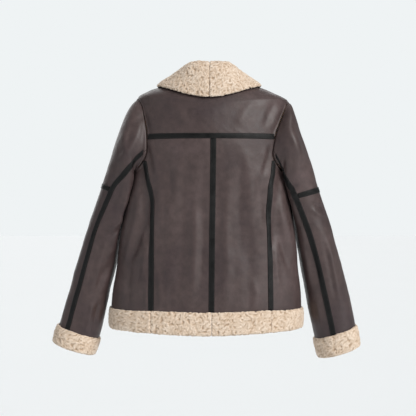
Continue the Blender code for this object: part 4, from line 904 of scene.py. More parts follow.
def along_line(u, v, line):
    """The distance of each place from a line, and how far along it the nearest point lies."""
    line = np.array(line, float)
    lengths = np.hypot(*np.diff(line, axis=0).T)
    walked = np.concatenate([[0.0], np.cumsum(lengths)])
    nearest = np.full(u.shape, 1e9)
    share = np.zeros(u.shape)
    for k, length in enumerate(lengths):
        way = (line[k + 1] - line[k]) / length
        along = np.clip((u - line[k, 0]) * way[0] + (v - line[k, 1]) * way[1], 0, length)
        gap = np.hypot(u - line[k, 0] - along * way[0], v - line[k, 1] - along * way[1])
        closer = gap < nearest
        nearest = np.where(closer, gap, nearest)
        share = np.where(closer, (walked[k] + along) / walked[-1], share)
    return nearest, share


def crease_height(grid, group):
    """How far the creases lift the cloth of one group: the body, or one sleeve."""
    u, v = seen(grid.points)
    turned = 2 * VIEW_MIDDLE - u + MIRROR_SHIFT
    facing = grid.normals[..., 1]
    total = np.zeros(u.shape)
    for name, half_width, rise, line in CREASES:
        for across, shown, wanted in ((u, facing, name), (turned, -facing, FRONT_OF[name])):
            if wanted != group:
                continue
            gap, share = along_line(across, v, line)
            taper = ease(share, -0.02, 0.3) * ease(share, 1.02, 0.7)
            profile = np.exp(-((gap * PIXEL / half_width) ** 2))
            total += rise * taper * profile * ease(shown, 0.0, 0.4)
    return CREASE_LIMIT * np.tanh(CREASE_DEPTH * total / CREASE_LIMIT)


def lattice(places, seed):
    """Smooth noise from -1 to 1, one swing for each unit of length."""
    table = np.random.RandomState(seed).rand(32, 32, 32) * 2 - 1
    cell = np.floor(places).astype(int)
    part = places - cell
    part = part * part * (3 - 2 * part)
    total = 0.0
    for corner in np.ndindex(2, 2, 2):
        near = np.array(corner)
        index = (cell + near) % 32
        weight = np.prod(np.where(near, part, 1 - part), axis=-1)
        total = total + weight * table[index[..., 0], index[..., 1], index[..., 2]]
    return total


def unevenness(points):
    """The cloth's own small swells."""
    return (
        0.9 * lattice(points / 48.0, 3) + 0.45 * lattice(points / 21.0, 4)
        + 0.16 * lattice(points / 9.0, 5)
    )


def edge_distances(points):
    """How far each point lies from the first and last columns and the first and last rows."""
    across = np.linalg.norm(np.diff(points, axis=1), axis=-1)
    along = np.linalg.norm(np.diff(points, axis=0), axis=-1)
    from_first = np.pad(np.cumsum(across, axis=1), ((0, 0), (1, 0)))
    from_low = np.pad(np.cumsum(along, axis=0), ((1, 0), (0, 0)))
    return from_first, from_first[:, -1:] - from_first, from_low, from_low[-1:] - from_low


# How the cloth lies beside a seam: the groove's depth, the welt's height and the puckers'
SEAM_KINDS = {
    "taped": (0.5, 0.0, 0.55), "sewn": (1.8, 2.0, 0.5), "covered": (0.0, 0.0, 0.0),
    "turned": (0.9, 0.4, 0.2),
}


GROOVE_HALF = 1.5
WELT_PLACE = 4.2  # from the seam to the middle of its welt
WELT_HALF = 2.2
PUCKER_REACH = 11.0
SEAM_WALL = 2.0  # the wall's thickness at a seam
SEAM_WALL_REACH = 14.0  # beyond this the wall is whole


def seam_height(points, kinds):
    """The groove, welt and puckers along a panel's four edges."""
    total = np.zeros(points.shape[:2])
    gaps = edge_distances(points)
    for number, (gap, kind) in enumerate(zip(gaps, kinds)):
        groove, welt, pucker = SEAM_KINDS[kind]
        beside = gaps[2] if number < 2 else gaps[0]
        wave = np.sin(beside / 4.6 + 1.9 * np.sin(beside / 31.0) + number)
        wave = wave * (0.6 + 0.4 * np.sin(beside / 57.0 + 2 * number))
        total -= groove * np.exp(-((gap / GROOVE_HALF) ** 2))
        total += welt * np.exp(-(((gap - WELT_PLACE) / WELT_HALF) ** 2))
        clear = TAPE_HALF_WIDTH if kind == "taped" else 0.0
        total += pucker * wave * np.exp(-gap / PUCKER_REACH) * ease(gap, clear, clear + 4.0)
    return total


def seam_thickness(points):
    """The wall's thickness, which is less beside a seam."""
    nearest = np.min(np.stack(edge_distances(points)), axis=0)
    return SEAM_WALL + (WALL - SEAM_WALL) * ease(nearest, 0.0, SEAM_WALL_REACH)


# Meshes

def new_object(name, points, faces, materials, mesh_name=None):
    """An object of the scene, with smooth faces, whose points are given in millimetres."""
    mesh = bpy.data.meshes.new(mesh_name or name)
    mesh.from_pydata((np.asarray(points) * MM).tolist(), [], faces)
    for material in materials:
        mesh.materials.append(material)
    mesh.shade_smooth()
    made = bpy.data.objects.new(name, mesh)
    bpy.context.scene.collection.objects.link(made)
    return made


def new_piece(name, points, faces, materials, material_numbers=None, slot="face"):
    """One piece of the jacket, which replaces the solid of its own name."""
    piece = new_object(name + "_cloth", points, faces, materials, mesh_name=name)
    if material_numbers is not None:
        piece.data.polygons.foreach_set("material_index", material_numbers)
    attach(piece, "jacket")
    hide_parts(name)
    return piece


def sewn_piece(name, points, faces):
    """A piece of sewing, which no solid stands for."""
    piece = new_object(name, points, faces, (THREAD,))
    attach(piece, "jacket")
    return piece


def cut_size(points):
    """The width, length and area in metres that a smooth piece of cloth was cut to."""
    width = np.max(np.sum(np.linalg.norm(np.diff(points, axis=1), axis=-1), axis=1))
    length = np.max(np.sum(np.linalg.norm(np.diff(points, axis=0), axis=-1), axis=0))
    first = points[1:, 1:] - points[:-1, :-1]
    second = points[1:, :-1] - points[:-1, 1:]
    area = np.sum(np.linalg.norm(np.cross(first, second), axis=-1)) / 2
    return width * MM, length * MM, area * MM**2


def hung(piece, points):
    """Works out the width, length and area a piece was cut to, from the smooth surface that it
    follows; nothing is done with them.
    """
    width, length, area = cut_size(points)
    area = min(area, width * length)


def quads(rows, columns, first=0):
    """The faces of a grid whose points are numbered row by row."""
    low = (np.arange(rows - 1)[:, None] * columns + np.arange(columns - 1)).reshape(-1) + first
    return np.stack([low, low + 1, low + columns + 1, low + columns], axis=1)


def bar_faces(sections, around, first, turned=False):
    """The faces of a closed bar, whose points are numbered section by section."""
    faces = []
    for low in range(0, (sections - 1) * around, around):
        for k in range(around):
            here, beside = low + k, low + (k + 1) % around
            faces.append([here, here + around, beside + around, beside])
    faces.append(list(range(around)))
    faces.append(list(range(sections * around - 1, (sections - 1) * around - 1, -1)))
    return [[first + n for n in (face[::-1] if turned else face)] for face in faces]


def outline_of(rows, columns):
    """The numbers of a grid's border points, once round."""
    edge = list(range(columns))
    edge += [row * columns + columns - 1 for row in range(1, rows)]
    edge += [(rows - 1) * columns + column for column in range(columns - 2, -1, -1)]
    edge += [row * columns for row in range(rows - 2, 0, -1)]
    return edge


def every(count):
    """Every third number up to a count, with the last one."""
    return np.unique(np.append(np.arange(0, count, INNER_EVERY), count - 1))


def outward(points, normals, faces):
    """True if the faces of a grid turn the same way as its normals."""
    first, second, third = (points[faces[:, k]] for k in range(3))
    crossed = np.cross(second - first, third - first)
    return np.sum(crossed * normals[faces[:, 0]]) > 0


def shell(name, outer, inner, normals, materials, **kwargs):
    """A closed piece of cloth: a fine outer face, a coarser inner one and a rim between them."""
    rows, columns = outer.shape[:2]
    kept_rows, kept_columns = every(rows), every(columns)
    inner = inner[np.ix_(kept_rows, kept_columns)]
    few_rows, few_columns = inner.shape[:2]
    count = rows * columns
    points = np.concatenate([outer.reshape(-1, 3), inner.reshape(-1, 3)])
    faces = quads(rows, columns)
    turned = not outward(points, normals.reshape(-1, 3), faces)
    back = quads(few_rows, few_columns, first=count)
    faces = (faces[:, ::-1] if turned else faces).tolist()
    back = (back if turned else back[:, ::-1]).tolist()
    number_of = {}
    for i, row in enumerate(kept_rows):
        for j, column in enumerate(kept_columns):
            number_of[int(row) * columns + int(column)] = count + i * few_columns + j
    rim = []
    border = outline_of(rows, columns)
    border.append(border[0])
    held = [border[0]]
    for number in border[1:]:
        held.append(number)
        if number in number_of:
            face = held[::-1] + [number_of[held[0]], number_of[number]]
            rim.append(face[::-1] if turned else face)
            held = [number]
    kinds = [0] * len(faces) + [1] * len(back) + [0] * len(rim)
    return new_piece(name, points, faces + back + rim, materials, kinds, **kwargs)


# Materials

class Look:
    """A material whose textures feed its Principled shader."""

    def __init__(self, name, roughness, metallic=0.0):
        self.material = bpy.data.materials.new(name)
        self.material.use_nodes = True
        self.nodes = self.material.node_tree.nodes
        self.links = self.material.node_tree.links
        self.shader = self.nodes["Principled BSDF"]
        self.place = self.nodes.new("ShaderNodeTexCoord")
        self.set("Roughness", roughness)
        self.set("Metallic", metallic)

    def set(self, name, value):
        self.shader.inputs[name].default_value = value

    def feed(self, name, source):
        self.links.new(source, self.shader.inputs[name])

    def add(self, kind, **inputs):
        node = self.nodes.new("ShaderNode" + kind)
        for name, value in inputs.items():
            node.inputs[name].default_value = value
        return node

    def texture(self, kind, scale, **inputs):
        """The values of a texture over the object's own places, which are in metres."""
        node = self.add("Tex" + kind, Scale=scale, **inputs)
        if kind == "Voronoi":
            node.feature = "SMOOTH_F1"
        if kind == "Wave":
            node.bands_direction = "DIAGONAL"
        self.links.new(self.place.outputs["Object"], node.inputs["Vector"])
        return node.outputs["Distance" if kind == "Voronoi" else "Fac"]

    def ramp(self, source, *stops):
        """A blend of colours, or of greys, along a texture's value."""
        node = self.add("ValToRGB")
        while len(node.color_ramp.elements) < len(stops):
            node.color_ramp.elements.new(0.5)
        for element, (place, colour) in zip(node.color_ramp.elements, stops):
            colour = (colour,) * 3 if isinstance(colour, float) else colour
            element.position = place
            element.color = (*colour, 1.0)
        self.links.new(source, node.inputs["Fac"])
        return node.outputs["Color"]

    def multiplied(self, first, second):
        """Two colours, the one tinted by the other."""
        node = self.add("Mix")
        node.data_type = "RGBA"
        node.blend_type = "MULTIPLY"
        node.inputs[0].default_value = 1.0
        self.links.new(first, node.inputs[6])
        self.links.new(second, node.inputs[7])
        return node.outputs[2]

    def bump(self, height, strength, distance, before=None):
        node = self.add("Bump", Strength=strength, Distance=distance)
        self.links.new(height, node.inputs["Height"])
        if before is not None:
            self.links.new(before, node.inputs["Normal"])
        return node.outputs["Normal"]


def leather_material():
    """Dark brown, leather-like: a soft gloss that changes from place to place, and fine grain."""
    look = Look("face_leather", 0.42)
    clouds = look.texture("Noise", 8.0, Detail=5.0, Roughness=0.6)
    mottle = look.texture("Noise", 70.0, Detail=6.0, Roughness=0.65)
    wrinkles = look.texture("Noise", 55.0, Detail=7.0, Roughness=0.62, Distortion=0.8)
    grain = look.texture("Voronoi", 620.0, Randomness=1.0)
    base = look.ramp(
        clouds, (0.32, (0.040, 0.025, 0.026)), (0.52, (0.057, 0.037, 0.035)),
        (0.70, (0.078, 0.052, 0.051)),
    )
    spots = look.ramp(mottle, (0.35, 0.82), (0.65, 1.12))
    look.feed("Base Color", look.multiplied(base, spots))
    look.feed("Roughness", look.ramp(mottle, (0.30, 0.42), (0.70, 0.56)))
    look.set("Specular IOR Level", 0.4)
    look.set("Sheen Weight", 0.03)
    look.set("Sheen Roughness", 0.45)
    soft = look.bump(wrinkles, 0.35, 0.0014)
    look.feed("Normal", look.bump(grain, 0.25, 0.0003, soft))
    return look.material


def pile_material():
    """Cream curled pile, with painted shade: its colour is browner and darker between the curls and
    lightest on their tips, by each point's height among them.
    """
    look = Look("pile_curls", 0.9)
    depth = look.add("Attribute")
    depth.attribute_name = "curl"
    fibres = look.texture("Noise", 900.0, Detail=3.0, Roughness=0.7)
    patches = look.texture("Noise", 36.0, Detail=3.0, Roughness=0.5)
    # painted shade: the colour darkens with depth among the curls
    painted_shade_by_depth = look.ramp(
        depth.outputs["Fac"], (0.0, (0.40, 0.29, 0.20)), (0.5, (0.53, 0.41, 0.305)),
        (0.95, (0.73, 0.61, 0.50)),
    )
    tint = look.ramp(patches, (0.35, (0.95, 0.91, 0.87)), (0.65, (1.0, 1.0, 1.0)))
    look.feed("Base Color", look.multiplied(painted_shade_by_depth, tint))
    look.set("Sheen Weight", 0.15)
    look.set("Sheen Roughness", 0.6)
    look.feed("Normal", look.bump(fibres, 0.6, 0.0005))
    return look.material


def lining_material():
    """The same pile inside the jacket, whose curls are a cell texture, with painted shade: its
    colour darkens away from each cell's middle, between the curls.
    """
    look = Look("pile_inside", 0.92)
    curls_inside = look.texture("Voronoi", 190.0, Randomness=1.0)
    fibres = look.texture("Noise", 800.0, Detail=3.0)
    # painted shade: lightest at the cells' middles, darker between the curls
    look.feed("Base Color", look.ramp(
        curls_inside, (0.10, (0.70, 0.585, 0.475)), (0.55, (0.53, 0.41, 0.305)),
        (0.85, (0.35, 0.245, 0.16)),
    ))
    look.set("Sheen Weight", 0.15)
    soft = look.bump(look.ramp(curls_inside, (0.1, 1.0), (0.85, 0.0)), 0.9, 0.003)
    look.feed("Normal", look.bump(fibres, 0.5, 0.0005, soft))
    return look.material


def trim_material():
    """Black tape with a fine slanted weave and a slight gloss."""
    look = Look("trim_tape", 0.42)
    weave = look.texture("Wave", 420.0, Distortion=1.2, Detail=1.0)
    wear = look.texture("Noise", 60.0, Detail=4.0)
    look.feed("Base Color", look.ramp(
        wear, (0.35, (0.0045, 0.0046, 0.0046)), (0.70, (0.0085, 0.0084, 0.0084)),
    ))
    look.feed("Roughness", look.ramp(wear, (0.3, 0.34), (0.7, 0.55)))
    look.set("Specular IOR Level", 0.17)
    soft = look.bump(wear, 0.5, 0.0012)
    look.feed("Normal", look.bump(weave, 0.3, 0.0002, soft))
    return look.material


def thread_material():
    """Dark sewing thread, twisted."""
    look = Look("trim_thread", 0.6)
    twist = look.texture("Wave", 1500.0, Distortion=0.5)
    colour = look.ramp(twist, (0.2, (0.010, 0.009, 0.009)), (0.8, (0.035, 0.030, 0.030)))
    look.feed("Base Color", colour)
    look.feed("Normal", look.bump(twist, 0.4, 0.0001))
    return look.material


def metal_material():
    """Dark burnished zip metal, a little worn."""
    look = Look("zip_metal_worn", 0.34, metallic=1.0)
    wear = look.texture("Noise", 260.0, Detail=5.0, Roughness=0.6)
    colour = look.ramp(wear, (0.35, (0.11, 0.11, 0.115)), (0.70, (0.24, 0.24, 0.245)))
    look.feed("Base Color", colour)
    look.feed("Roughness", look.ramp(wear, (0.3, 0.26), (0.7, 0.46)))
    look.feed("Normal", look.bump(wear, 0.15, 0.0002))
    return look.material


LEATHER = leather_material()
PILE = pile_material()
LINING = lining_material()
TRIM = trim_material()
THREAD = thread_material()
METAL = metal_material()


# Leather panels

COLLAR_EDGE = sorted((row[2], row[1]) for row in COLLAR_PLACES)  # its angle and its level
COLLAR_CALM = (2.0, -38.0)  # over the leaf's edge, where the creases begin and are whole


def clear_of_collar(angles, levels):
    """0 under the collar's leaf, and 1 well below its edge."""
    turn = np.degrees(np.mod(angles - math.pi / 2 + math.pi, 2 * math.pi) - math.pi)
    edge = np.interp(90.0 - np.abs(turn), *np.array(COLLAR_EDGE, float).T)
    return ease(levels, edge + COLLAR_CALM[0], edge + COLLAR_CALM[1])


def lift_of(grid, group):
    """How far the cloth's creases and swells lift it."""
    return crease_height(grid, group) + unevenness(grid.points)


def leather_panel(name, grid, group, kinds, clear=1.0):
    """A panel's two faces: the leather outside and the pile within."""
    height = lift_of(grid, group) * clear + seam_height(grid.points, kinds)
    outer = grid.moved(height)
    inner = grid.moved(np.minimum(height, 0.0) - seam_thickness(grid.points))
    panel = shell(name, outer, inner, grid.normals, (LEATHER, LINING))
    hung(panel, grid.points)


def body_panel(name, places, kinds):
    grid = body_grid(*places)
    leather_panel(name, grid, "body", kinds, clear_of_collar(*places))


def body_panels():
    """The yoke, the two backs, the two sides and the two fronts."""
    places = yoke_places(shares(SPACED["yoke"]))
    body_panel("yoke_back", places, ("sewn", "sewn", "taped", "covered"))
    for side in (LEFT, RIGHT):
        word = SIDE_NAMES[side]
        top = YOKE_LEVEL - HALF_GAP
        levels = HEM_LEVEL + (top - HEM_LEVEL) * shares(top - HEM_LEVEL, low_edge=False)
        places = back_places(side, levels, shares(SPACED["back"]))
        body_panel("back_" + word, places, ("taped", "taped", "covered", "taped"))
        rise = shares(SPACED["side_height"], low_edge=False)
        rows = HEM_LEVEL + (meeting_level(side) - HEM_LEVEL) * rise
        places = side_places(side, rows, shares(SPACED["side"]))
        body_panel("side_" + word, places, ("taped", "taped", "covered", "sewn"))
        places = front_places(side, panel_rows(side), shares(SPACED["front"]))
        body_panel("front_" + word, places, ("turned", "taped", "covered", "covered"))


def sleeve_panels():
    """Each sleeve's top, in two parts, and its under sleeve."""
    for side in (LEFT, RIGHT):
        word = SIDE_NAMES[side]
        for which, node in (("upper", "top_upper"), ("lower", "top_lower"), ("under", "under")):
            grid = sleeve_grid(side, *sleeve_places(side, which))
            low = "taped" if which == "lower" else "sewn"
            high = "taped" if which == "upper" else "covered"
            first, last = ("taped", "sewn") if which == "under" else ("sewn", "taped")
            name = "sleeve_" + node + "_" + word
            leather_panel(name, grid, word, (first, last, low, high))


# Curled pile

CURL_CELL = 5.2
CURL_HEIGHT = 3.0
CURL_HALF_LENGTH = 1.2  # in cells, as is the width
CURL_HALF_WIDTH = 0.58
CURL_BEND = 1.2
CURL_LEVEL = 0.72  # the height that lies on the smooth surface
TUFT_HEIGHT = 0.7
EDGE_DROP = 1.6  # how far the pile sinks at a seam
EDGE_DROP_HALF = 1.8


def curls(along, across, seed):
    """Heights from 0 to 1 of short bent curls, lying every way, over two lengths."""
    size = 64
    table = np.random.RandomState(seed).rand(size, size, 5)
    u, v = along / CURL_CELL, across / CURL_CELL
    cell_u, cell_v = np.floor(u).astype(int), np.floor(v).astype(int)
    height = np.zeros(u.shape)
    for step_u in (-2, -1, 0, 1, 2):
        for step_v in (-2, -1, 0, 1, 2):
            i, j = cell_u + step_u, cell_v + step_v
            random = table[i % size, j % size]
            away_u = u - i - random[..., 0]
            away_v = v - j - random[..., 1]
            turn = random[..., 2] * math.pi
            lengthwise = away_u * np.cos(turn) + away_v * np.sin(turn)
            sideways = away_v * np.cos(turn) - away_u * np.sin(turn)
            sideways = sideways - (random[..., 3] - 0.5) * CURL_BEND * lengthwise**2
            round_it = (lengthwise / CURL_HALF_LENGTH) ** 2 + (sideways / CURL_HALF_WIDTH) ** 2
            lump = (0.62 + 0.38 * random[..., 4]) * np.sqrt(np.clip(1 - round_it, 0, 1))
            height = np.maximum(height, lump)
    return height


def grid_normals(points, like):
    """The directions out of a fine grid, turned the same way as those given for its first rows."""
    crossed = unit(np.cross(np.gradient(points, axis=0), np.gradient(points, axis=1)))
    return crossed * np.sign(np.sum(crossed[: len(like)] * like))


def curled(points, normals, seed):
    """A pile surface with its curls, and each point's height among them."""
    from_first, from_last, from_low, _ = edge_distances(points)
    height = curls(from_first + 6 * lattice(points / 17.0, 7), from_low, seed)
    lift = (height - CURL_LEVEL) * CURL_HEIGHT + TUFT_HEIGHT * lattice(points / 13.0, seed + 11)
    nearest = np.minimum(from_first, from_last)
    lift = lift - EDGE_DROP * np.exp(-((nearest / EDGE_DROP_HALF) ** 2))
    return points + normals * lift[..., None], height


# a plain back takes the painted shade of this height, a mid tone between tips and hollows
BACK_CURL = 0.4  # the height among the curls of a plain back


def set_curl(piece, height):
    """Keeps each point's height among the curls, which sets the pile's painted shade between them.
    """
    attribute = piece.data.attributes.new("curl", "FLOAT", "POINT")
    attribute.data.foreach_set("value", np.asarray(height, np.float32).reshape(-1))


def ring_piece(name, front, back, normals, height, materials=(PILE,), back_material=0):
    """A closed piece whose rows run once round it: its curled front, then its plain back."""
    rows, columns = front.shape[0] + back.shape[0], front.shape[1]
    points = np.concatenate([front, back])
    low = (np.arange(rows)[:, None] * columns + np.arange(columns - 1)).reshape(-1)
    above = (low + columns) % (rows * columns)
    faces = np.stack([low, low + 1, above + 1, above], axis=1)
    flat = points.reshape(-1, 3)
    shown = faces[: (front.shape[0] - 1) * (columns - 1)]
    turned = not outward(flat, normals.reshape(-1, 3), shown)
    faces = (faces[:, ::-1] if turned else faces).tolist()
    caps = [[row * columns for row in range(rows)]]
    caps.append([row * columns + columns - 1 for row in range(rows - 1, -1, -1)])
    faces += [cap[::-1] for cap in caps] if turned else caps
    kinds = [0] * len(faces)
    first_back = (front.shape[0] - 1) * (columns - 1)
    kinds[first_back:-2] = [back_material] * (len(faces) - 2 - first_back)
    piece = new_piece(name, flat, faces, materials, kinds, slot="pile")
    set_curl(piece, np.concatenate([height, np.full(back.shape[:2], BACK_CURL)]))
    return piece


BAND_FRONT = 10  # the profile's points from the top edge outside, round below, to the inside


def band_parts(rows, normals):
    """A band of pile turned up over an edge, curled where it shows."""
    chain = np.array(HEM_PROFILE[:BAND_FRONT])
    walked = walk(chain)
    places = shares(walked[-1], False, False, step=PILE_STEP) * walked[-1]
    heights = smooth_curve(walked, chain[:, 0])(places)
    outs = smooth_curve(walked, chain[:, 1])(places)
    front = band_sections(rows, normals, list(zip(heights, outs))).swapaxes(0, 1)
    back = band_sections(rows, normals, HEM_PROFILE[BAND_FRONT:]).swapaxes(0, 1)
    out = grid_normals(front, np.broadcast_to(normals, front.shape)[5:10])
    return front, back, out


HEM_PLACES = {"back": back_places, "side": side_places, "front": front_places}
HEM_SEED = 20
CUFF_SEED = 40
COLLAR_SEED = 60


def hem_bands():
    seed = HEM_SEED
    for side in (LEFT, RIGHT):
        for part, places in HEM_PLACES.items():
            columns = shares(SPACED[part], False, False, step=PILE_STEP)
            more = {"upper": False} if part == "front" else {}
            grid = body_grid(*places(side, np.array(HEM_ROWS), columns, **more))
            name = "hem_" + part + "_" + SIDE_NAMES[side]
            make_band(name, grid.points, grid.normals[1], seed)
            seed += 1


def make_band(name, rows, normals, seed):
    """One piece of the hem band, or a cuff."""
    front, back, out = band_parts(rows, normals)
    curly, height = curled(front, out, seed)
    hung(ring_piece(name, curly, back, out, height), front)


CUFF_SEAM_TURN = {LEFT: 179.5, RIGHT: 201.75}
CUFF_GAP_DEGREES = 0.3


def cuffs():
    for side in (LEFT, RIGHT):
        columns = shares(SPACED["cuff"], False, False, step=PILE_STEP)
        turns = CUFF_SEAM_TURN[side] + CUFF_GAP_DEGREES + (360 - 2 * CUFF_GAP_DEGREES) * columns
        stations = np.array(CUFF_STATIONS)[:, None]
        grid = sleeve_grid(side, turns[None, :], stations)
        make_band("cuff_" + SIDE_NAMES[side], grid.points, grid.normals[0], CUFF_SEED + side)


RIM_TURNS = (22.5, 45.0, 67.5, 90.0, 112.5, 135.0)
LEAF_END = 1.96  # how far down the leaf its rounded edge begins
STAND_ROWS = 36
LEAF_ROWS = 72
UNDER_ROWS = 24  # on the plain side, over stand and leaf
NECK_RADIUS = 67.0
COLLAR_CALM_EDGE = 6.0  # the curls are whole this far from the collar's foot


def collar_ends(side):
    """The way round the neck of a collar half's two ends, in degrees from the centre back."""
    front = seam_angle("centre_front", NECK_LEVEL, front=True)
    front = front + side * angle_step(front, NECK_LEVEL, ZIP_CHANNEL_HALF)
    front_end = float(np.mod(side * (90.0 - np.degrees(front)), 360.0))
    return math.degrees(HALF_GAP / NECK_RADIUS), front_end


def collars():
    """Both halves of the collar, with the pile outside the leaf and inside the stand."""
    for side in (LEFT, RIGHT):
        start, end = collar_ends(side)
        around = start + (end - start) * shares(SPACED["collar"], False, False, step=PILE_STEP)
        stand, leaf = np.linspace(0, 1, STAND_ROWS), np.linspace(1, LEAF_END, LEAF_ROWS)
        down = np.concatenate([stand[:-1], leaf])
        grid = collar_grid(side, around[None, :], down[:, None])
        half = collar_thickness(down)[:, None] / 2
        front = grid.moved(np.broadcast_to(half, grid.points.shape[:2]))
        edge, out = grid.points[-1], grid.normals[-1]
        away = unit(edge - grid.points[-2])
        radius = collar_thickness(LEAF_END) / 2
        rim = [
            edge + radius * (out * math.cos(turn) + away * math.sin(turn))
            for turn in np.radians(RIM_TURNS)
        ]
        front = np.concatenate([front, rim])
        few = np.linspace(0, LEAF_END, UNDER_ROWS)[::-1]
        under = collar_grid(side, around[None, :], few[:, None])
        half = collar_thickness(few)[:, None] / 2
        back = under.moved(-np.broadcast_to(half, under.points.shape[:2]))
        out = grid_normals(front, np.concatenate([grid.normals, [out] * len(rim)]))
        curly, height = curled(front, out, COLLAR_SEED + side)
        calm = ease(edge_distances(front)[2], 0.0, COLLAR_CALM_EDGE)[..., None]
        curly = front + (curly - front) * calm
        name = "collar_" + SIDE_NAMES[side]
        piece = ring_piece(name, curly, back, out, height, (PILE, LEATHER), back_material=1)
        hung(piece, grid.points)


# Tapes over the seams

TAPE_ACROSS = np.array((-6.5, -6.25, -5.6, -4.7, -3.4, 0.0, 3.4, 4.7, 5.6, 6.25, 6.5))
TAPE_PROFILE = np.array((0.35, 0.85, 1.15, 1.05, 1.2, 1.25, 1.2, 1.05, 1.15, 0.85, 0.35))
TAPE_STEP = 2.4
TAPE_END_GAP = 0.6
TAPE_ARMHOLE_GAP = 3.0
STITCHED_COLUMNS = (3, 7)
TAPE_MIDDLE_COLUMN = 5


def tape_piece(name, grid, group):
    """A tape whose rows run along it. It follows the creases of the cloth below."""
    height = lift_of(grid, group)
    outer = grid.moved(height + SEAM_GAP + TAPE_PROFILE)
    inner = grid.moved(height + SEAM_GAP)
    tape = shell(name, outer, inner, grid.normals, (TRIM, TRIM), slot="trim")
    lines = [outer[:, column] for column in STITCHED_COLUMNS]
    stitched = stitches(name + "_stitches", lines, grid.normals[:, TAPE_MIDDLE_COLUMN])
    hung(tape, grid.points)


STITCH_PITCH = 3.3
STITCH_LENGTH = 2.3
STITCH_ROUND = 0.32
# Along a stitch: each section's place, size and height over the tape
STITCH_SECTIONS = ((-0.5, 0.35, -0.15), (-0.3, 1.0, 0.1), (0.3, 1.0, 0.1), (0.5, 0.35, -0.15))
STITCH_SIDES = 5


def stitches(name, lines, normals):
    """Rows of short sewn stitches along lines on a tape."""
    points, faces = [], []
    turns = np.arange(STITCH_SIDES) * 2 * math.pi / STITCH_SIDES
    for line in lines:
        walked = walk(line)
        for middle in np.arange(STITCH_PITCH, walked[-1] - STITCH_PITCH, STITCH_PITCH):
            places = middle + STITCH_LENGTH * np.array(STITCH_SECTIONS)[:, 0]
            spine = np.stack([np.interp(places, walked, line[:, k]) for k in range(3)], axis=-1)
            out = normals[int(np.searchsorted(walked, middle))]
            side = np.cross(unit(spine[-1] - spine[0]), out)
            faces += bar_faces(len(spine), STITCH_SIDES, len(points))
            for centre, (_, size, lift) in zip(spine, STITCH_SECTIONS):
                for turn in turns:
                    push = side * math.cos(turn) + out * math.sin(turn)
                    points.append(centre + out * lift + push * size * STITCH_ROUND)
    return sewn_piece(name, points, faces)


BINDING_SECTION = ((-2.8, -2.9), (2.8, -2.9), (2.8, -3.3), (-2.8, -3.3))  # across and out


def armhole_binding_and_seam_shade(side):
    """The sewn binding inside an armhole, which covers its seam from within. It is near-black and
    closes the gap, so the seam line shows dark: partly a real binding, partly painted shade.
    """
    turns = np.linspace(0.0, 360.0, 181)
    angles, levels = edge_at(turns, side, grow=0.0)
    seam, out = body_point(angles, levels), body_normal(angles, levels)
    along = unit(np.roll(seam[:-1], -1, axis=0) - np.roll(seam[:-1], 1, axis=0))
    along = np.concatenate([along, along[:1]])
    across = unit(np.cross(along, out))
    corners = [seam + across * distance + out * depth for distance, depth in BINDING_SECTION]
    points = np.stack(corners, axis=1)[:-1]
    count, around = points.shape[:2]
    faces = []
    for i in range(count):
        j = (i + 1) % count
        for k in range(around):
            m = (k + 1) % around
            faces.append([i * around + k, j * around + k, j * around + m, i * around + m])
    return sewn_piece("armhole_binding_and_seam_shade_" + SIDE_NAMES[side], points.reshape(-1, 3), faces)


def seam_tape(name, seam, levels):
    """A tape down the body, over a seam that is given as its angle by level."""
    middle = seam(levels)[:, None]
    levels = np.broadcast_to(levels[:, None], (len(levels), len(TAPE_ACROSS)))
    tape_piece(name, body_grid(middle + angle_step(middle, levels, TAPE_ACROSS), levels), "body")


def tape_levels(low, high):
    """Levels up the body, evenly spaced for a tape."""
    length = high - low
    return low + length * shares(length, False, False, step=TAPE_STEP)


def body_tapes():
    """The tapes over the centre-back, yoke, side-back and side-front seams."""
    band_top = HEM_ROWS[2]
    levels = tape_levels(band_top + TAPE_END_GAP, YOKE_LEVEL - TAPE_HALF_WIDTH - SEAM_GAP)
    seam_tape("tape_centre_back", lambda level: seam_angle("centre_back", level), levels)
    levels = YOKE_LEVEL + TAPE_ACROSS[None, :]
    ends = []
    for side in (LEFT, RIGHT):
        angle = edge_at(armhole_turn(levels, side), side)[0]
        ends.append(angle + side * angle_step(angle, levels, TAPE_ARMHOLE_GAP))
    share = shares(SPACED["yoke_tape"], False, False, step=TAPE_STEP)[:, None]
    angles = ends[0] + (ends[1] - ends[0]) * share
    tape_piece("tape_yoke", body_grid(angles, np.broadcast_to(levels, angles.shape)), "body")
    for side in (LEFT, RIGHT):
        for part, front in (("back", False), ("front", True)):
            top = meeting_level(side, front)
            rise = (band_top - HEM_LEVEL) / (meeting_level(side) - HEM_LEVEL)
            low = HEM_LEVEL + rise * (top - HEM_LEVEL)
            levels = tape_levels(low + TAPE_END_GAP, top - TAPE_ARMHOLE_GAP)
            seam = "side_front" if front else seam_name(side)
            name = "tape_side_" + part + "_" + SIDE_NAMES[side]
            seam_tape(name, lambda level: seam_angle(seam, level, side, front), levels)


def turn_step(side, turns, stations, distance):
    """The turn that moves a point of the sleeve's section by a distance."""
    moved = sleeve_point(side, turns + 1.0, stations) - sleeve_point(side, turns - 1.0, stations)
    return distance * 2.0 / np.linalg.norm(moved, axis=-1)


def station_near(side, station, distance):
    """The station at a distance along the sleeve from another."""
    section = SLEEVES[side]
    ends = np.array([station - 0.05, station + 0.05])
    length = np.hypot(np.diff(section["in_x"](ends)), np.diff(section["in_z"](ends)))[0]
    return station + distance * 0.1 / length


TAPE_TOP_STATION = 0.15
ELBOW_TAPE_STATION = 72.0  # millimetres of the elbow tape's width for a station


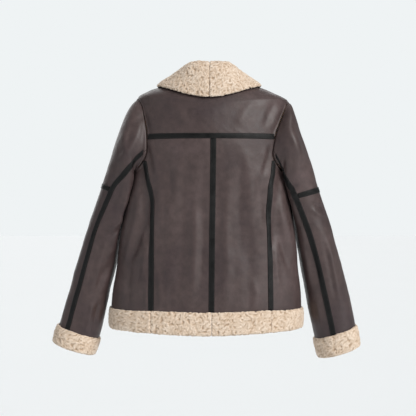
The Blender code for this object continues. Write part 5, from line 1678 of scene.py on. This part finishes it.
def sleeve_tapes():
    """The tapes down the elbow seams and across the elbows."""
    for side in (LEFT, RIGHT):
        word = SIDE_NAMES[side]
        first = station_near(side, TAPE_TOP_STATION, TAPE_ARMHOLE_GAP)
        last = station_near(side, CUFF_STATIONS[2], -TAPE_END_GAP)
        stations = stations_between(side, first, last, low_edge=False, high_edge=False,
                                    step=TAPE_STEP)
        middle = sleeve_seams(side, stations)[0][:, None]
        stations = np.broadcast_to(stations[:, None], (len(stations), len(TAPE_ACROSS)))
        turns = middle + turn_step(side, middle, stations[:, :1], TAPE_ACROSS[None, :])
        tape_piece("tape_sleeve_" + word, sleeve_grid(side, turns, stations), word)
        stations = ELBOW_STATION[side] + TAPE_ACROSS[None, :] / ELBOW_TAPE_STATION
        elbow, front = sleeve_seams(side, stations)
        far = TAPE_HALF_WIDTH + 2 * SEAM_GAP
        start = front - 360 + turn_step(side, front, stations, 1.0)
        end = elbow - turn_step(side, elbow, stations, far)
        share = shares(SPACED["elbow_tape"], False, False, step=TAPE_STEP)[:, None]
        turns = start + (end - start) * share
        tape_piece("tape_elbow_" + word, sleeve_grid(side, turns, stations), word)


# The zip

SLIDER_LEVEL = -1.0
TOOTH_PITCH = 2.6
TOOTH_SIZE = (3.4, 1.35, 2.4)  # across, up and out of the cloth
TEETH_OUT = -3.0  # their middle, measured out of the fronts' outer face
TEETH_ASIDE = 1.15  # their middle, from the centre front
TEETH_BELOW_SLIDER = 14.0
ZIP_FOOT = HEM_LEVEL + HEM_BAND_HEIGHT / 2
ZIP_TAPE_TOP = NECK_LEVEL - 1.2
ZIP_TAPE_ACROSS = np.array((0.2, 1.2, 3.0, 4.5, 6.5, 10.0, 16.0))

# A tooth's sections, by their place along it and their size, and the corners of a section
TOOTH_SECTIONS = ((-0.5, 0.8), (-0.35, 1.0), (0.15, 1.0), (0.32, 0.72), (0.5, 0.6))
TOOTH_CORNERS = (
    (-1, -0.6), (-0.6, -1), (0.6, -1), (1, -0.6), (1, 0.6), (0.6, 1), (-0.6, 1), (-1, 0.6),
)


def centre_front(levels, distance):
    """Places at a distance from the centre front, to the left."""
    middle = seam_angle("centre_front", levels, front=True)
    return body_grid(middle + angle_step(middle, levels, distance), levels)


def zip_tapes():
    for side in (LEFT, RIGHT):
        levels = tape_levels(ZIP_FOOT, ZIP_TAPE_TOP)
        grid_levels = np.broadcast_to(levels[:, None], (len(levels), len(ZIP_TAPE_ACROSS)))
        grid = centre_front(grid_levels, side * ZIP_TAPE_ACROSS[None, :])
        outer = grid.moved(np.full(grid_levels.shape, -WALL - SEAM_GAP))
        inner = grid.moved(np.full(grid_levels.shape, -WALL - SEAM_GAP - ZIP_TAPE_THICKNESS))
        name = "zip_tape_" + SIDE_NAMES[side]
        hung(shell(name, outer, inner, grid.normals, (TRIM, TRIM), slot="trim"), grid.points)


def tooth_points():
    """A tooth's corners about its middle: a block that narrows towards its head."""
    points = []
    for x, grow in TOOTH_SECTIONS:
        for y, z in TOOTH_CORNERS:
            points.append((x, y * 0.5 * grow, z * 0.5 * (0.6 + 0.4 * grow)))
    return np.array(points) * TOOTH_SIZE


def zip_teeth():
    """The chain's teeth, which meet in turn from the two sides."""
    low, high = ZIP_FOOT + 2.0, SLIDER_LEVEL - TEETH_BELOW_SLIDER
    count = int((high - low) / TOOTH_PITCH)
    corners = tooth_points()
    points, faces = [], []
    for number in range(2 * count):
        side = LEFT if number % 2 else RIGHT
        place = centre_front(np.array([low + number * TOOTH_PITCH / 2]), side * TEETH_ASIDE)
        out = place.normals[0]
        along = unit(np.array([-side * 1.0, 0.0, 0.0]) + out * side * out[0])
        up = np.cross(out, along)
        middle = place.points[0] + out * TEETH_OUT
        faces += bar_faces(
            len(TOOTH_SECTIONS), len(TOOTH_CORNERS), len(points) * len(corners), up[2] < 0
        )
        points.append(middle + corners @ np.stack([along, up * np.sign(up[2]), out]))
    new_piece("zip_chain", np.concatenate(points), faces, (METAL,), slot="zip_metal")


def repaint(node, material):
    """Gives a solid that stays its worn metal."""
    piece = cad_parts[node]
    for slot in piece.material_slots:
        slot.material = material
    if not piece.material_slots:
        piece.data.materials.append(material)


# The jacket

body_panels()
sleeve_panels()
hem_bands()
cuffs()
collars()
body_tapes()
sleeve_tapes()
for jacket_side in (LEFT, RIGHT):
    armhole_binding_and_seam_shade(jacket_side)
zip_tapes()
zip_teeth()
for metal_node in ("zip_slider", "zip_pull"):
    repaint(metal_node, METAL)


# Stage, light and camera

FLOOR_LEVEL = -1300.0  # as far under the shoulders as when the jacket is worn
FLOOR_HALF = 30000.0
PALE = (0.863, 0.896, 0.905, 1.0)
WORLD_STRENGTH = 0.22  # on the jacket; the background itself shows at its full strength

# Each light's name, the way to it, its strength, how wide it is in degrees, and its colour
LIGHTS = (
    ("key", (-0.62, 0.66, 0.55), 2.7, 32.0, (1.0, 0.985, 0.965)),
    ("fill", (0.75, 0.62, 0.12), 0.55, 70.0, (0.97, 0.985, 1.0)),
    ("side", (-0.85, 0.50, 0.03), 0.45, 40.0, (1.0, 1.0, 1.0)),
    ("front", (0.25, -0.85, 0.45), 1.6, 60.0, (1.0, 1.0, 1.0)),
    ("top", (0.05, 0.15, 1.0), 0.35, 90.0, (1.0, 1.0, 1.0)),
)


def plain_floor():
    look = Look("floor_pale", 0.9)
    clouds = look.texture("Noise", 0.8, Detail=1.0)
    pale = look.ramp(clouds, (0.0, (0.828, 0.852, 0.866)), (1.0, (0.836, 0.86, 0.874)))
    look.feed("Base Color", pale)
    look.set("Specular IOR Level", 0.1)
    sides = ((-1, -1), (1, -1), (1, 1), (-1, 1))
    corners = [(x * FLOOR_HALF, y * FLOOR_HALF, FLOOR_LEVEL) for x, y in sides]
    floor = new_object("floor", corners, [[0, 1, 2, 3]], (look.material,))


def soft_light(name, towards, strength, angle, colour):
    """A wide, even light from one direction."""
    data = bpy.data.lights.new(name, "SUN")
    data.energy = strength
    data.angle = math.radians(angle)
    data.color = colour
    light = bpy.data.objects.new(name, data)
    light.rotation_euler = Vector(towards).to_track_quat("Z", "Y").to_euler()
    bpy.context.scene.collection.objects.link(light)


def pale_world():
    """Even light from all round, and a pale background behind the jacket."""
    world = bpy.data.worlds.new("pale")
    world.use_nodes = True
    nodes, links = world.node_tree.nodes, world.node_tree.links
    light, shown = nodes["Background"], nodes.new("ShaderNodeBackground")
    for background in (light, shown):
        background.inputs["Color"].default_value = PALE
    light.inputs["Strength"].default_value = WORLD_STRENGTH
    path = nodes.new("ShaderNodeLightPath")
    choice = nodes.new("ShaderNodeMixShader")
    links.new(path.outputs["Is Camera Ray"], choice.inputs[0])
    links.new(light.outputs[0], choice.inputs[1])
    links.new(shown.outputs[0], choice.inputs[2])
    links.new(choice.outputs[0], nodes["World Output"].inputs["Surface"])
    bpy.context.scene.world = world


def place_camera():
    """The view from behind."""
    data = bpy.data.cameras.new("from_behind")
    data.sensor_width = 36.0
    data.lens = VIEW_SCALE * data.sensor_width / VIEW_SIZE
    camera = bpy.data.objects.new("from_behind", data)
    camera.location = Vector(CAMERA) * MM
    camera.rotation_euler = (math.pi / 2, 0.0, math.pi)
    bpy.context.scene.collection.objects.link(camera)
    bpy.context.scene.camera = camera


plain_floor()
pale_world()
for light_values in LIGHTS:
    soft_light(*light_values)
place_camera()
bpy.context.scene.view_settings.view_transform = "Standard"
